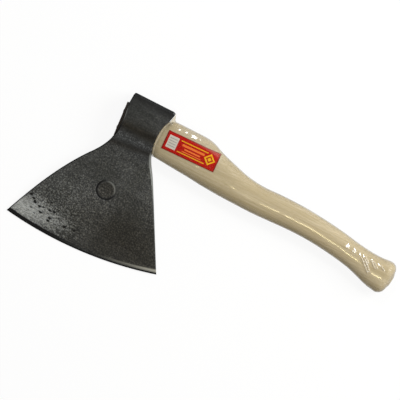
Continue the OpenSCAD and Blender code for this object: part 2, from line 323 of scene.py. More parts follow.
def waves(x, y, size, seed):
    """Unevenness of about -1 to 1: a sum of plane waves near the given size, in seeded directions."""
    dice = np.random.default_rng(seed)
    heading = dice.uniform(0, 2 * np.pi, WAVE_COUNT)
    start = dice.uniform(0, 2 * np.pi, WAVE_COUNT)
    number = 2 * np.pi / size * dice.uniform(*WAVE_SPREAD, WAVE_COUNT)
    phase = np.multiply.outer(x, number * np.cos(heading)) + np.multiply.outer(y, number * np.sin(heading))
    total = np.sin(phase + start).sum(-1) / math.sqrt(WAVE_COUNT)
    return np.clip(total / WAVE_PEAK, -1, 1)


def grid_faces(rows, columns, start, wrap_rows, wrap_columns):
    """Four-sided faces of a grid of points, closed round on itself where wrapped."""
    index = start + np.arange(rows * columns).reshape(rows, columns)
    if wrap_rows:
        index = np.vstack([index, index[:1]])
    if wrap_columns:
        index = np.hstack([index, index[:, :1]])
    return np.stack([index[:-1, :-1], index[:-1, 1:], index[1:, 1:], index[1:, :-1]], -1).reshape(-1, 4)


def join_grids(grids, wrap_rows=False, wrap_columns=False):
    """Points and faces of several grids of points, each of shape rows by columns by 3."""
    starts = np.cumsum([0] + [g.shape[0] * g.shape[1] for g in grids])
    faces = [grid_faces(*g.shape[:2], start, wrap_rows, wrap_columns) for g, start in zip(grids, starts)]
    return np.concatenate([g.reshape(-1, 3) for g in grids]), np.concatenate(faces)


def make_piece(name, surface, material, masks=None, vectors=None):
    """A closed piece from points and faces, which rides on the hatchet and stands for its CAD node.

    Equal points are merged, then the faces are turned outwards. masks and vectors are values at the points.
    """
    points, faces = surface
    mesh = bpy.data.meshes.new(name)
    mesh.from_pydata(place(points), [], faces.tolist())
    for key, values in (masks or {}).items():
        mesh.attributes.new(key, "FLOAT", "POINT").data.foreach_set("value", values.ravel())
    for key, values in (vectors or {}).items():
        mesh.attributes.new(key, "FLOAT_VECTOR", "POINT").data.foreach_set("vector", values.ravel())
    built = bmesh.new()
    built.from_mesh(mesh)
    bmesh.ops.remove_doubles(built, verts=built.verts, dist=MERGE_MM * MM)
    bmesh.ops.recalc_face_normals(built, faces=built.faces)
    open_edges = sum(not edge.is_manifold for edge in built.edges)
    built.to_mesh(mesh)
    built.free()
    if open_edges:
        raise RuntimeError(f"{name} has {open_edges} open edges")
    mesh.shade_smooth()
    mesh.set_sharp_from_angle(angle=SHARP_ANGLE)
    mesh.materials.append(material)
    piece = bpy.data.objects.new(name + "_look", mesh)
    bpy.context.scene.collection.objects.link(piece)
    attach(piece, BODY)
    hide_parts(name)
    return piece


# Nodes

MIX_FACTOR, MIX_A, MIX_B, MIX_COLOUR = 0, 6, 7, 2


def add_node(tree, kind, inputs=(), out=0, **settings):
    """Adds one node with its settings, sets or links its inputs, in order or by name, and gives one output.

    The inputs of a MapRange node are, in order, the value, where it starts and ends, and what that becomes.
    """
    node = tree.nodes.new("ShaderNode" + kind)
    for key, value in settings.items():
        setattr(node, key, value)
    for key, value in inputs.items() if isinstance(inputs, dict) else enumerate(inputs):
        if isinstance(value, bpy.types.NodeSocket):
            tree.links.new(value, node.inputs[key])
        else:
            node.inputs[key].default_value = value
    return node.outputs[out] if node.outputs else None


def new_material(name):
    """An empty node material, and the function that adds a node to it."""
    material = bpy.data.materials.new(name)
    material.use_nodes = True
    material.node_tree.nodes.clear()
    return material, partial(add_node, material.node_tree)


def painted(add, ground, coats):
    """Colour of a ground with coats laid over it in order, each given as its mask and its tone."""
    for part, tone in coats:
        ground = add("Mix", {MIX_FACTOR: part, MIX_A: ground, MIX_B: tone}, MIX_COLOUR, data_type="RGBA")
    return ground


def per_mm(size):
    """Texture scale at which one feature is about this many millimetres across."""
    return 1 / (size * MM)


def stretched(add, at, sizes):
    """Coordinates at which a pattern's features are about these millimetres across along X, Y and Z."""
    return add("Mapping", {"Vector": at, "Scale": [per_mm(size) for size in sizes]})


def noise(add, at, size, detail, **more):
    """Noise with features about this many millimetres across, the same all round or along X, Y and Z."""
    scale = 1
    if isinstance(size, tuple):
        at = stretched(add, at, size)
    else:
        scale = per_mm(size)
    return add("TexNoise", {"Vector": at, "Scale": scale, "Detail": detail, **more})


def end_opaque(add, looks, height, strength, depth):
    """Ends a material in one opaque shader with these looks, and a relief of this depth in millimetres."""
    relief = add("Bump", {"Height": height, "Strength": strength, "Distance": depth * MM})
    add("OutputMaterial", [add("BsdfPrincipled", {**looks, "Normal": relief})])


# Axe head

WAIST_SHIFT = 0.4
POLL_CORNER = 1.6
POLL_ROUND = 1.3
NECK_BACK = (-25, -23)
NECK_FRONT = (25.6, -24)
FLARE_BACK = (-41.3, -52)
FLARE_FRONT = (40.4, -49)
FLARED_Y = -62
CHEEK_FULL_Y = 2
NECK_FULL_Y = -33
BLADE_TOP_Y = -24
# Rounded corners of the skin: width under the eye and what of it goes towards the edge, and height
TOE_CORNER, TOE_LOSS = 1.6, 0.9
HEEL_CORNER, HEEL_LOSS = 1.5, 0.8
CORNER_H = 1.8
CORNER_FADE_Y = -134
CORNER_LIMIT = 0.7
# Swell of the heel side's corner: place, half length, width and height
SWELL_Y, SWELL_HALF, SWELL_W, SWELL_H = -34, 16, 1.8, 1.6
RING_AT = (-3.6, -81.6)
PUNCH_LEAN = (0.6, 0.8)
PUNCH_SHARP = 1.8
LEAN_SHARE = 0.25
LIP_SHARE = 0.25
BEVEL_SOFT = 0.25
# Dents: size across, depth
BROAD_DENT = (34, 0.28)
SMALL_DENT = (9, 0.1)
CREASE_DEPTH = 0.45
CREASE_TILT = 0.13
CREASE_Y = -24
CREASE_HALF = 4
# Half thickness of the steel where working marks begin and where they are full
WORKED = (1, 3)
# Sides of the head, each with the seed of its dents
SIDES = ((1, 11), (-1, 23))
# Rows and columns of the skin: breaks, and steps between them
WALL_STEPS = 7
FLANK_STEPS = 4
POLL_FACE_STEPS = 8
ROUND_STEPS = 6
POLL_STEPS = 12
EYE_END_STEPS = 12
EYE_WALL_STEPS = 15
BLADE_ROWS = ((0, 0.33, 0.58, 1), (24, 58, 56))
BEVEL_ROWS = ((6.5, 5, 3.8, 0.15), (3, 6, 8))
FACE_COLUMNS = ((0, 0.375, 0.615, 1), (70, 56, 40))


def edge_centre(head):
    """Centre of the arc that the edge follows."""
    return np.array([-head.edge_low_x, head.edge_r - head.edge_y])


def edge_point(head, x):
    """Point of the edge at x."""
    middle = edge_centre(head)
    return np.array([x, middle[1] - math.sqrt(head.edge_r ** 2 - (x - middle[0]) ** 2)])


def toe_side(head):
    """Outline of the head down its toe side: poll, waisted cheek, concave flare, toe."""
    back = POLL_SHIFT - head.poll_l / 2
    waist = -head.waist_l / 2 - WAIST_SHIFT
    shoulder = (back - 0.6, head.eye_h / 2)
    toe = edge_point(head, -head.toe_x)
    return np.vstack([
        straight((back, head.poll_y), shoulder),
        cubic(shoulder, (waist - 0.4, 8), (waist + 2, -9), NECK_BACK),
        cubic(NECK_BACK, (-26.3, -30), (-32, -41), FLARE_BACK),
        cubic(FLARE_BACK, (-67, -86), toe + (14, 34), toe),
    ])


def heel_side(head):
    """Outline of the head down its heel side: poll corner, waisted cheek, straight flare, heel."""
    front = POLL_SHIFT + head.poll_l / 2
    waist = head.waist_l / 2 - WAIST_SHIFT
    corner = (front, head.poll_y - POLL_CORNER)
    shoulder = (front - 2.6, head.eye_h / 2)
    return np.vstack([
        straight((front - POLL_CORNER, head.poll_y), corner),
        straight(corner, shoulder),
        cubic(shoulder, (waist - 1.4, 12), (waist - 1.2, -8), NECK_FRONT),
        cubic(NECK_FRONT, (28.2, -31), (34.3, -38), FLARE_FRONT),
        straight(FLARE_FRONT, edge_point(head, head.heel_x)),
    ])


def at_height(outline, y):
    """Points of an outline at the heights y."""
    return np.stack([np.interp(-y, -outline[:, 1], outline[:, 0]), y], -1)


def at_radius(head, outline, radius):
    """Points of an outline at the distances radius from the centre of the edge's arc."""
    low = outline[outline[:, 1] < FLARED_Y]
    found = np.hypot(*(low - edge_centre(head)).T)
    return at_height(outline, np.interp(radius, found, low[:, 1]))


def cheek_profile(head):
    """Half thickness of the head against Y, as points (y, half thickness) from the poll to past the edge."""
    poll, cheek, neck, blade = (w / 2 for w in (head.poll_w, head.cheek_w, head.neck_w, head.blade_w))
    bevel_y = head.edge_y - (head.blade_w - head.edge_w) / 2 / math.tan(head.bevel_angle)
    return np.vstack([
        cubic((head.poll_y, poll), (24, poll + 1.2), (14, cheek), (CHEEK_FULL_Y, cheek)),
        cubic((CHEEK_FULL_Y, cheek), (-13, cheek), (-18, neck + 3.4), (NECK_FULL_Y, neck)),
        cubic((NECK_FULL_Y, neck), (-48, neck - 2), (-100, blade + 2), (-bevel_y, blade)),
        straight((-bevel_y, blade), (-head.edge_y - 12, blade - 0.5)),
    ])


def eye_rows(head):
    """Heights of the rows across the eye: even between the centres of its round ends, by angle round them."""
    end = head.eye_w / 2
    centre = head.eye_h / 2 - end
    upper = centre + end * np.cos(np.linspace(0, np.pi / 2, EYE_END_STEPS))
    return np.concatenate([upper, np.linspace(centre, -centre, EYE_WALL_STEPS)[1:-1], -upper[::-1]])


def eye_half_width(head, y):
    """Half width of the eye at the heights y: flat walls between two round ends, zero outside."""
    end = head.eye_w / 2
    past = np.maximum(np.abs(y) - (head.eye_h / 2 - end), 0)
    return np.sqrt(np.maximum(end ** 2 - past ** 2, 0))


def head_rows(head):
    """Rows of the skin from the poll to the edge.

    Rows of the poll and cheeks are level. Rows of the blade run between equal shares of both outlines and
    take on the edge's arc with the square of that share. Rows of the bevel are arcs round the edge's centre.
    """
    sides = toe_side(head), heel_side(head)
    turn = np.linspace(np.pi / 2, 0, ROUND_STEPS)
    top = head.poll_y - POLL_ROUND
    eye = eye_rows(head)
    level = np.concatenate([
        top + POLL_ROUND * np.sin(turn),
        np.linspace(top, head.eye_h / 2, POLL_STEPS)[1:-1],
        eye,
        np.linspace(-head.eye_h / 2, BLADE_TOP_Y, 3)[1:],
    ])
    down = graded(*BLADE_ROWS)[1:-1]
    arcs = head.edge_r - np.append(graded(*BEVEL_ROWS), 0)
    first = [at_radius(head, side, arcs[:1])[0] for side in sides]
    ends = [
        np.vstack([
            at_height(side, level),
            at_height(side, BLADE_TOP_Y + down * (start[1] - BLADE_TOP_Y)),
            at_radius(head, side, arcs),
        ])
        for side, start in zip(sides, first)
    ]
    plain = len(level) + len(down)
    inset = np.zeros((plain + len(arcs), 2))
    inset[:ROUND_STEPS, 0] = POLL_ROUND * (1 - np.cos(turn))
    below_eye = np.full(len(down) + len(arcs), -head.eye_h)
    eye_start = ROUND_STEPS + POLL_STEPS - 2
    return SimpleNamespace(
        toe=ends[0] + inset,
        heel=ends[1] - inset,
        bow=np.concatenate([np.zeros(len(level)), down ** 2, np.ones(len(arcs))]),
        arc=np.append(np.full(plain, arcs[0]), arcs),
        arc_ends=[np.vstack([np.tile(start, (plain, 1)), end[plain:]]) for start, end in zip(first, ends)],
        drop=inset[:, 0],
        eye=eye_half_width(head, np.append(level, below_eye)),
        eye_span=slice(eye_start, eye_start + len(eye)),
    )


def head_columns():
    """Columns across a row, each as its shares of the parts of the row.

    toe and heel are shares of the rounded corner on each side, flat the share of the face between them,
    toe_drop and heel_drop the shares of the corners' height, and lift the share of the flank's height.
    """
    turn = np.linspace(0, np.pi / 2, ROUND_STEPS)
    flank = np.linspace(0, 1, FLANK_STEPS)[:-1]
    face = graded(*FACE_COLUMNS)[1:-1]
    counts = [len(flank), len(turn), len(face), len(turn), len(flank)]

    def run(*parts):
        return np.concatenate([np.broadcast_to(p, n) for p, n in zip(parts, counts)])

    return SimpleNamespace(
        toe=run(0, 1 - np.cos(turn), 1, 1, 1),
        flat=run(0, 0, face, 1, 1),
        heel=run(0, 0, 0, np.sin(turn), 1),
        toe_drop=run(1, 1 - np.sin(turn), 0, 0, 0),
        heel_drop=run(0, 0, 0, 1 - np.cos(turn), 1),
        lift=run(flank, 1, 1, 1, flank[::-1]),
        toe_rim=run(1, np.cos(turn), 0, 0, 0),
    )


def corner_sizes(rows):
    """Width of each row's rounded corner on the toe and heel sides, and the height that they share.

    The heel side is ground rounder under the eye and thins towards the heel.
    """
    fall = step(rows.heel[:, 1], BLADE_TOP_Y, CORNER_FADE_Y)
    swell = near(rows.heel[:, 1], SWELL_Y, SWELL_HALF)
    toe = TOE_CORNER - TOE_LOSS * fall
    heel = HEEL_CORNER - HEEL_LOSS * fall + SWELL_W * swell
    return toe, heel, CORNER_H + SWELL_H * swell


def head_plan(head, rows, columns):
    """Side-view points of the skin: along each row's chord, bowed by the row's share of the arc."""
    span = rows.heel - rows.toe
    reach = np.linalg.norm(span, axis=1)[:, None]
    toe_round, heel_round = (size[:, None] for size in corner_sizes(rows)[:2])
    along = toe_round * columns.toe + heel_round * columns.heel
    along = along + (reach - toe_round - heel_round) * columns.flat
    part = (along / reach)[..., None]
    middle = edge_centre(head)
    toe, heel = rows.arc_ends
    toe_turn, heel_turn = (np.arctan2(p[:, 0] - middle[0], middle[1] - p[:, 1])[:, None] for p in (toe, heel))
    turn = toe_turn + (heel_turn - toe_turn) * part[..., 0]
    arc = middle + rows.arc[:, None, None] * np.stack([np.sin(turn), -np.cos(turn)], -1)
    chord = toe[:, None] + (heel - toe)[:, None] * part
    return rows.toe[:, None] + span[:, None] * part + rows.bow[:, None, None] * (arc - chord)


def face_height(head, x, y):
    """Half thickness of the head over side-view points, their share of bevel and distance from the edge.

    The thickness is the lesser of the cheek's profile and of the cone that the bevel is ground to.
    """
    profile = cheek_profile(head)
    forged = np.interp(-y, -profile[:, 0], profile[:, 1])
    middle = edge_centre(head)
    above = head.edge_r - np.hypot(x - middle[0], y - middle[1])
    ground = head.edge_w / 2 + above * math.tan(head.bevel_angle)
    part = np.clip(0.5 + 0.5 * (ground - forged) / BEVEL_SOFT, 0, 1)
    return ground + (forged - ground) * part - BEVEL_SOFT * part * (1 - part), 1 - part, above


def hammer_dents(x, y, seed):
    """Depth of the forging's dents: broad hammer marks with smaller ones in them, never above the skin."""
    dents = enumerate((BROAD_DENT, SMALL_DENT))
    return sum(depth * (0.5 + 0.5 * waves(x, y, size, seed + i)) for i, (size, depth) in dents)


def neck_crease(x, y):
    """How near points lie to the crease across the neck, where the cheek was drawn down to the blade."""
    return near(y - CREASE_TILT * x, CREASE_Y, CREASE_HALF)


def round_ring(head, x, y):
    """Distances from the ring's line, negative inside, and how far points face away from the punch's lean."""
    dx, dy = x - RING_AT[0], y - RING_AT[1]
    reach = np.hypot(dx, dy)
    return reach - head.ring_r, (dx * PUNCH_LEAN[0] + dy * PUNCH_LEAN[1]) / np.maximum(reach, TINY)


def ring_groove(head, x, y):
    """Depth of the punched ring: a bell-shaped groove, deepest where the punch leaned, with a raised lip."""
    off, away = round_ring(head, x, y)
    lip = near(np.abs(off), head.ring_line, 0.5 * head.ring_line)
    line = bump(off / head.ring_line * PUNCH_SHARP)
    return (1 - LEAN_SHARE * away) * head.ring_depth * (line - LIP_SHARE * lip)


def head_masks(head, plan, bevel, above, groove, rows, columns):
    """Where each finish of the head lies, from 0 to 1.

    toe_grind is the patch ground bright at the toe, which fades along the edge and upwards, and pitted the
    falling line of pits that grinding left in it. rub is the sweep of the blade where the scale is thin and
    flecked, which also brightens it as a painted sheen, and a painted highlight on the ridge under the cheek.
    oil is the brown film and darker tone low on the heel side and in the ring, and painted shade on the
    cheek's slope and in the crease across the neck. rim_dark is painted shade, black on the poll's rounded
    rim and the toe side's corner and darker towards the poll's top, and matt is those rims, where the scale
    is thick, and the toe side's flank. rim_bright is painted highlight on the heel side's rim under the eye,
    on the cheek's rim beside the tenon and on the ring's lip. bevel_dark is painted dark reflection on the
    bevel towards the toe and a dark line along the edge, bevel_bright painted reflection on the top of the
    bevel towards the heel, and groove painted shade in the ring's line, darkest where the punch leaned.
    Places are in millimetres.
    """
    x, y = plan[..., 0], plan[..., 1]
    patch = (1 - 0.6 * step(x, -80, -30)) * (1 - step(x, -42, 10)) * near(y, -142, 15)
    sweep = bump(np.hypot((x + 44) / 66, (y + 110 - 0.25 * x) / 42))
    low = bump(np.hypot((x - 42) / 66, (y + 128) / 42))
    off_ring, away = round_ring(head, x, y)
    in_ring = groove.any() * (1 - step(off_ring, -2.5, 0.5))
    crescent = groove.any() * near(off_ring, -0.5, 1.1) * step(away, 0.3, 0.8)
    poll_rim = np.broadcast_to(rows.drop[:, None] / POLL_ROUND, x.shape)
    poll_top = 0.8 * step(y, 19, head.poll_y)
    beside_tenon = near(y, 9, 9)
    from_side = np.linalg.norm(plan - rows.toe[:, None], axis=-1)
    toe_flank = (1 - step(from_side, 0.5, 1.8)) * (1 - beside_tenon)
    under_eye = step(y, -17, -23) * (1 - 0.8 * step(y, -46, -76))
    edge_line = 1 - step(above, 1.6, 2.4)
    toeward = 1 - step(x, -45, 15)
    heelward = 0.35 * step(x, 10, 60) + 0.65 * step(x, 50, 91)
    return {
        "toe_grind": patch * (1 - bevel),
        "pitted": near(y + 0.27 * (x + 61), -132, 10) * near(x, -63, 32),
        # Rubbed scale with livelier flecks, plus a painted sheen over the blade's sweep and a painted
        # highlight on the ridge under the cheek
        "rub": np.maximum(np.maximum(sweep, 0.3) * step(y, -20, -34), 0.45 * near(y, -15, 4)),
        # Brown oil and darker tone inside the ring and low on the heel side; painted shade on the cheek's
        # slope and in the crease across the neck
        "oil": np.maximum.reduce([0.65 * in_ring, near(y, -3, 7), 0.8 * neck_crease(x, y), 0.8 * low]),
        # Painted shade: black on the poll's rounded rim and the toe side's corner, and darker towards the
        # poll's top
        "rim_dark": np.maximum.reduce([poll_rim, toe_flank * (columns.lift == 1), poll_top]),
        "matt": np.maximum.reduce([poll_rim, toe_flank, poll_top]),
        # Painted highlights on the heel side's rim under the eye, the cheek's rim beside the tenon and the
        # ring's lip
        "rim_bright": np.maximum.reduce([
            columns.heel * under_eye, 0.5 * columns.toe_rim * beside_tenon, 0.45 * crescent,
        ]),
        # Painted dark reflection on the bevel towards the toe, and a dark line along the edge
        "bevel_dark": np.maximum(bevel * edge_line, toeward * (1 - step(above, 4.2, 5.4))),
        # Painted reflection on the top of the bevel towards the heel
        "bevel_bright": bevel * (1 - edge_line) * heelward * (0.45 + 0.55 * near(above, 4.3, 1.2)),
        # Painted shade in the ring's line, darkest where the punch leaned, opposite the painted highlight of
        # its crescent
        "groove": np.clip(2.6 * groove, 0, 1) * np.clip(0.95 - 0.65 * away, 0, 1),
    }


def striking_face(head, rim):
    """Rows that close the poll: its rim shrinks in even steps to a line along the middle of the poll."""
    middle = np.array([POLL_SHIFT, head.poll_y, 0])
    part = np.linspace(1, 0, POLL_FACE_STEPS)[:, None, None]
    return middle + (rim - middle) * (1 - part * np.array([head.poll_w / head.poll_l, 0, 1]))


def head_surface(head):
    """Points, faces and masks of the head: two cheek skins, the walls of the eye and the striking face.

    A skin's point has its height from the face, less the corner's drop, and a flank's share of what is left
    above the eye.
    """
    rows, columns = head_rows(head), head_columns()
    plan = head_plan(head, rows, columns)
    x, y = plan[..., 0], plan[..., 1]
    height, bevel, above = face_height(head, x, y)
    corner_z = corner_sizes(rows)[2]
    span, foot = rows.eye_span, rows.eye[:, None]
    across = np.linspace(0, 1, WALL_STEPS)[:, None]
    wall = rows.toe[span, None] + (rows.heel - rows.toe)[span, None] * across
    grids, masks = [], []
    for side, seed in SIDES:
        groove = ring_groove(head, x, y) if side > 0 else np.zeros(x.shape)
        worked = hammer_dents(x, y, seed) + CREASE_DEPTH * neck_crease(x, y)
        skin = height - rows.drop[:, None] - groove - worked * (1 - bevel) * step(height, *WORKED)
        skin[-1] = 0
        drops = [np.minimum(corner_z, CORNER_LIMIT * skin[:, end])[:, None] for end in (0, -1)]
        top = skin - drops[0] * columns.toe_drop - drops[1] * columns.heel_drop
        shell = np.stack([x, y, side * (foot + (top - foot) * columns.lift)], -1)
        level = np.broadcast_to(side * foot[span], wall.shape[:2])
        grids += [shell, striking_face(head, shell[0]), np.concatenate([wall, level[..., None]], -1)]
        masks.append(head_masks(head, plan, bevel, above, groove / head.ring_depth, rows, columns))
        # The striking face is matt, and the eye's walls get full painted shade through the oil mask
        for grid, scaled in ((grids[-2], "matt"), (grids[-1], "oil")):
            masks.append({key: np.full(grid.shape[:2], float(key == scaled)) for key in masks[0]})
    joined = {key: np.concatenate([m[key].ravel() for m in masks]) for key in masks[0]}
    return join_grids(grids), joined


def forged_steel(head, masks):
    """Forged carbon steel in its mill scale, ground near the toe.

    Scale gives the eye a dark grey with flecks about 1.7 mm across, streaks about 22 by 4.5 mm where the
    steel was drawn out, and a dull sheen that breaks up with the flecks. It is more lively where it is rubbed
    thin, where a painted sheen also brightens it, and browner under a film of oil. Painted shade darkens the
    cheek's slope, the crease across the neck and the eye's walls. Thick scale at the rims is matt, and
    painted shade turns it black; painted highlights lie on the heel side's rim, beside the tenon and on the
    ring's lip, and painted shade in the ring's line. Grinding takes the scale off: pale steel in streaks
    about 6 by 1.6 mm along the edge, with pits about 2 mm long left in it, and a bevel with painted
    reflection, dark towards the toe and light towards the heel.
    """
    material, add = new_material("forged_carbon_steel_mill_scale")
    at = add("TexCoord", out="Object")
    mask = {key: add("Attribute", out="Fac", attribute_name=key) for key in masks}
    rub = mask["rub"]

    fleck = noise(add, at, 1.7, 2, Roughness=0.6)
    swing = add("Math", (fleck, 0.5), operation="SUBTRACT")
    bright_more = add("Math", (swing, 3, 1), operation="MULTIPLY_ADD")
    swing = add("Math", (swing, bright_more, -0.03), operation="MULTIPLY_ADD")
    drawn = noise(add, at, (22, 4.5, 40), 3, Distortion=0.6)
    drawn = add("Math", (drawn, 0.5), operation="SUBTRACT")
    # Besides livelier flecks, rub brightens the scale: a painted sheen over the sweep and a painted highlight
    # on the ridge under the cheek
    drawn_depth = add("MapRange", (rub, 0, 0.6, 1.8, 0.6))
    level = add("MapRange", (rub, 0, 1, 1.16, 2.3))
    level = add("Math", (drawn, drawn_depth, level), operation="MULTIPLY_ADD")
    contrast = add("MapRange", (rub, 0, 1, 2.4, 13))
    grain = add("Math", (swing, contrast, level), operation="MULTIPLY_ADD")
    grain = add("Math", (grain, 0.2), operation="MAXIMUM")

    blotch = noise(add, at, 30, 3)
    blotch = add("MapRange", (blotch, 0.35, 0.65))
    # Oil browns the scale, and the same mask paints shade on the cheek's slope, in the crease and on the
    # eye's walls
    scale = painted(add, head.scale_dark, [(blotch, head.scale_pale), (mask["oil"], head.oil_and_shade_tone)])
    scale = add("VectorMath", {0: scale, "Scale": grain}, operation="SCALE")

    streak = noise(add, at, (6, 1.6, 40), 3, Roughness=0.7)
    uneven = add("MapRange", (streak, 0.25, 0.75, -0.4, 0.3))
    ground = add("Math", (mask["toe_grind"], 0.78, uneven), operation="MULTIPLY_ADD")
    ground = add("Math", (swing, 1.3, ground), operation="MULTIPLY_ADD")
    near_toe = add("MapRange", (mask["toe_grind"], 0, 0.4))
    ground = add("MapRange", (ground, 0, 1, 0, near_toe))
    pit = toe_pits(add, at, mask["pitted"])
    shown = painted(add, scale, [
        (ground, head.ground_bright),
        # Painted highlights on the rims and the ring's lip, and painted reflection on the bevel towards the
        # heel
        (mask["rim_bright"], head.rim_highlight_tone),
        (mask["bevel_bright"], head.bevel_bright),
        # Real pits in black, then painted shade on the rims, painted dark reflection on the bevel towards the
        # toe with a dark line along the edge, and painted shade in the ring's line
        (pit, head.bevel_dark),
        (mask["rim_dark"], head.bevel_dark),
        (mask["bevel_dark"], head.bevel_dark),
        (mask["groove"], head.bevel_dark),
    ])

    relief = add("Math", (fleck, pit), operation="SUBTRACT")
    end_opaque(add, {
        "Base Color": shown,
        "Roughness": add("MapRange", (fleck, 0.3, 0.7, 0.58, 0.48)),
        "Metallic": add("MapRange", (mask["matt"], 0, 1, 0.8, 0)),
        "Specular IOR Level": add("MapRange", (mask["matt"], 0, 1, 0.5, 0)),
    }, relief, 0.3, 0.35)
    return material


def toe_pits(add, at, pitted):
    """Mask of the pits in the ground patch: the middles of stretched cells, fewer where pitted is weaker."""
    cell = add("TexVoronoi", {"Vector": stretched(add, at, (6.5, 3.6, 40)), "Scale": 1})
    chance = add("SeparateXYZ", [cell.node.outputs["Color"]])
    picked = add("Math", (chance, pitted), operation="LESS_THAN")
    return add("MapRange", (cell, 0.22, 0.46, picked, 0), interpolation_type="SMOOTHSTEP")


# Handle

TENON_HALF_H = 21
TENON_HALF_W = 10.2
TENON_SQUARE = 2.6
KNOB_HALF_W = 13.5
LEAN_START = 285
LEAN_FULL = 318
SKEW_FADE = 14
HANDLE_SIDES = 120
# Breaks of the handle's rows between its ends, and steps between them
HANDLE_BREAKS = (22, 40, 290)
HANDLE_STEPS = (16, 26, 150, 30)
KNOB_STEPS = 10
TENON_CAP_STEPS = 6
KNOB_CAP_STEPS = 8
# Stain: where the dipped end fades to a tint, where the tint fades out, and how clean tinted wood is
DIP_END = (-22, -16)
TINT_END = (40, 160)
TINT_CLEAN = 0.9


def handle_stations(head, handle):
    """Stations of the handle: place along X, middle in Y, half height, half width and squareness there."""
    poll_front = POLL_SHIFT + head.poll_l / 2
    tenon = [(x, 0, TENON_HALF_H, TENON_HALF_W, TENON_SQUARE)
             for x in (tenon_end(head, handle), -10, 16, poll_front - 6.5)]
    return np.array(tenon + [
        (poll_front - 2.5, 0.1, TENON_HALF_H + 0.1, TENON_HALF_W + 1.5, TENON_SQUARE),
        (poll_front + 1.5, 0.9, 23.3, 12.6, 2.9),
        (poll_front + 6.5, 1.1, 23.6, 13.2, 3),
        (56, 0.4, 24.3, 13.3, 3),
        (74, -0.3, 24.8, 13.2, 2.9),
        (84, -1.7, 24.4, 13, 2.8),
        (98, -5, 22.2, 12.8, 2.7),
        (116, -8.2, 19.9, 12.4, 2.5),
        (136, -11.1, 17.4, 12, 2.4),
        (157, -12.4, 16.3, 11.7, 2.4),
        (180, -11.6, 16.2, 11.5, 2.4),
        (206, -11.1, 15.6, 11.3, 2.4),
        (232, -12.2, 15, 11.2, 2.4),
        (260, -15.2, 14.8, 11.3, 2.4),
        (284, -19.2, 14.8, 11.8, 2.4),
        (300, -22.5, 16, 12.4, 2.4),
        (314, -24.9, 17.8, 13.2, 2.4),
        (325, -25.4, 19.2, KNOB_HALF_W, 2.5),
        (handle.reach, -26.4, 20.2, KNOB_HALF_W, 2.5),
    ])


def tenon_end(head, handle):
    """Place of the tenon's end along X."""
    return POLL_SHIFT - head.poll_l / 2 - handle.tenon_proud


def along_stations(stations, x):
    """Middle, half height, half width and squareness at x, on a smooth curve through the stations."""
    places, values = stations[:, 0], stations[:, 1:]
    before = np.maximum(np.arange(len(places)) - 1, 0)
    after = np.minimum(np.arange(len(places)) + 1, len(places) - 1)
    slopes = (values[after] - values[before]) / (places[after] - places[before])[:, None]
    i = np.clip(np.searchsorted(places, x) - 1, 0, len(places) - 2)
    gap = (places[i + 1] - places[i])[..., None]
    t = (np.asarray(x) - places[i])[..., None] / gap
    found = values[i] * (2 * t ** 3 - 3 * t ** 2 + 1) + slopes[i] * gap * (t ** 3 - 2 * t ** 2 + t)
    found = found + values[i + 1] * (3 * t ** 2 - 2 * t ** 3) + slopes[i + 1] * gap * (t ** 3 - t ** 2)
    return np.moveaxis(found, -1, 0)


def handle_skin(handle, stations, x, turn, grow=0.0, inset=0.0, push=0.0):
    """Points of the handle's skin at x and turn: a superellipse of the stations' size, grown and inset.

    Towards the knob each section leans, so that its upper side lies further along, and the saw cut across the
    tenon's end leans the other way.
    """
    middle, half_h, half_w, square = along_stations(stations, x)
    y = (half_h + grow - inset) * signed_power(np.cos(turn), 2 / square)
    z = (half_w + grow - inset) * signed_power(np.sin(turn), 2 / square)
    lean = handle.knob_lean * step(x, LEAN_START, LEAN_FULL)
    lean = lean - math.tan(handle.tenon_skew) * (1 - ease((x - stations[0, 0]) / SKEW_FADE))
    return np.stack(np.broadcast_arrays(x + push + lean * y, middle + y, z), -1)


def end_cap(ring, middle, steps):
    """Rings that close an end: the ring shrinks evenly on all sides until its lesser half size is gone."""
    away = ring - middle
    halves = np.abs(away[:, 1:]).max(0)
    part = np.linspace(0, 1, steps + 1)[1:, None, None]
    shrink = halves.min() / np.array([halves.max(), *halves])
    return middle + away[None] * (1 - part * shrink)


def domed(face, rim, height):
    """Pushes an end face out along X: by the height at its middle, falling with the square of the reach."""
    middle = rim.mean(0)
    reach = np.abs(rim - middle)[:, 1:].max(0)
    spread = (((face - middle)[..., 1:] / reach) ** 2).sum(-1)
    push = height * np.clip(1 - spread, 0, 1)
    return np.concatenate([face[..., :1] + push[..., None], face[..., 1:]], -1)


def handle_surface(head, handle):
    """Points, faces and stain mask of the handle: its skin from the chamfered tenon to the rounded knob."""
    stations = handle_stations(head, handle)
    start = tenon_end(head, handle)
    chamfer, rounding = handle.tenon_chamfer, handle.knob_round
    knob = handle.reach - rounding
    turn = full_turn(HANDLE_SIDES)[None]
    x = graded((start + chamfer, *HANDLE_BREAKS, knob), HANDLE_STEPS)[:, None]
    body = handle_skin(handle, stations, x, turn)
    broken = handle_skin(handle, stations, x[:1], turn, inset=chamfer, push=-chamfer)
    bend = np.linspace(0, np.pi / 2, KNOB_STEPS)[1:, None]
    rounded = handle_skin(
        handle, stations, x[-1:], turn, inset=rounding * (1 - np.cos(bend)), push=rounding * np.sin(bend)
    )
    tenon_cap = end_cap(broken[0], np.array([start, 0, 0]), TENON_CAP_STEPS)
    rim = rounded[-1]
    knob_cap = domed(end_cap(rim, rim.mean(0), KNOB_CAP_STEPS), rim, handle.knob_dome)
    skin = np.concatenate([tenon_cap[::-1], broken, body, rounded, knob_cap])
    clean = TINT_CLEAN + (1 - TINT_CLEAN) * step(skin[..., 0], *TINT_END)
    return join_grids([skin], wrap_columns=True), {"stain": 1 - step(skin[..., 0], *DIP_END) * clean}


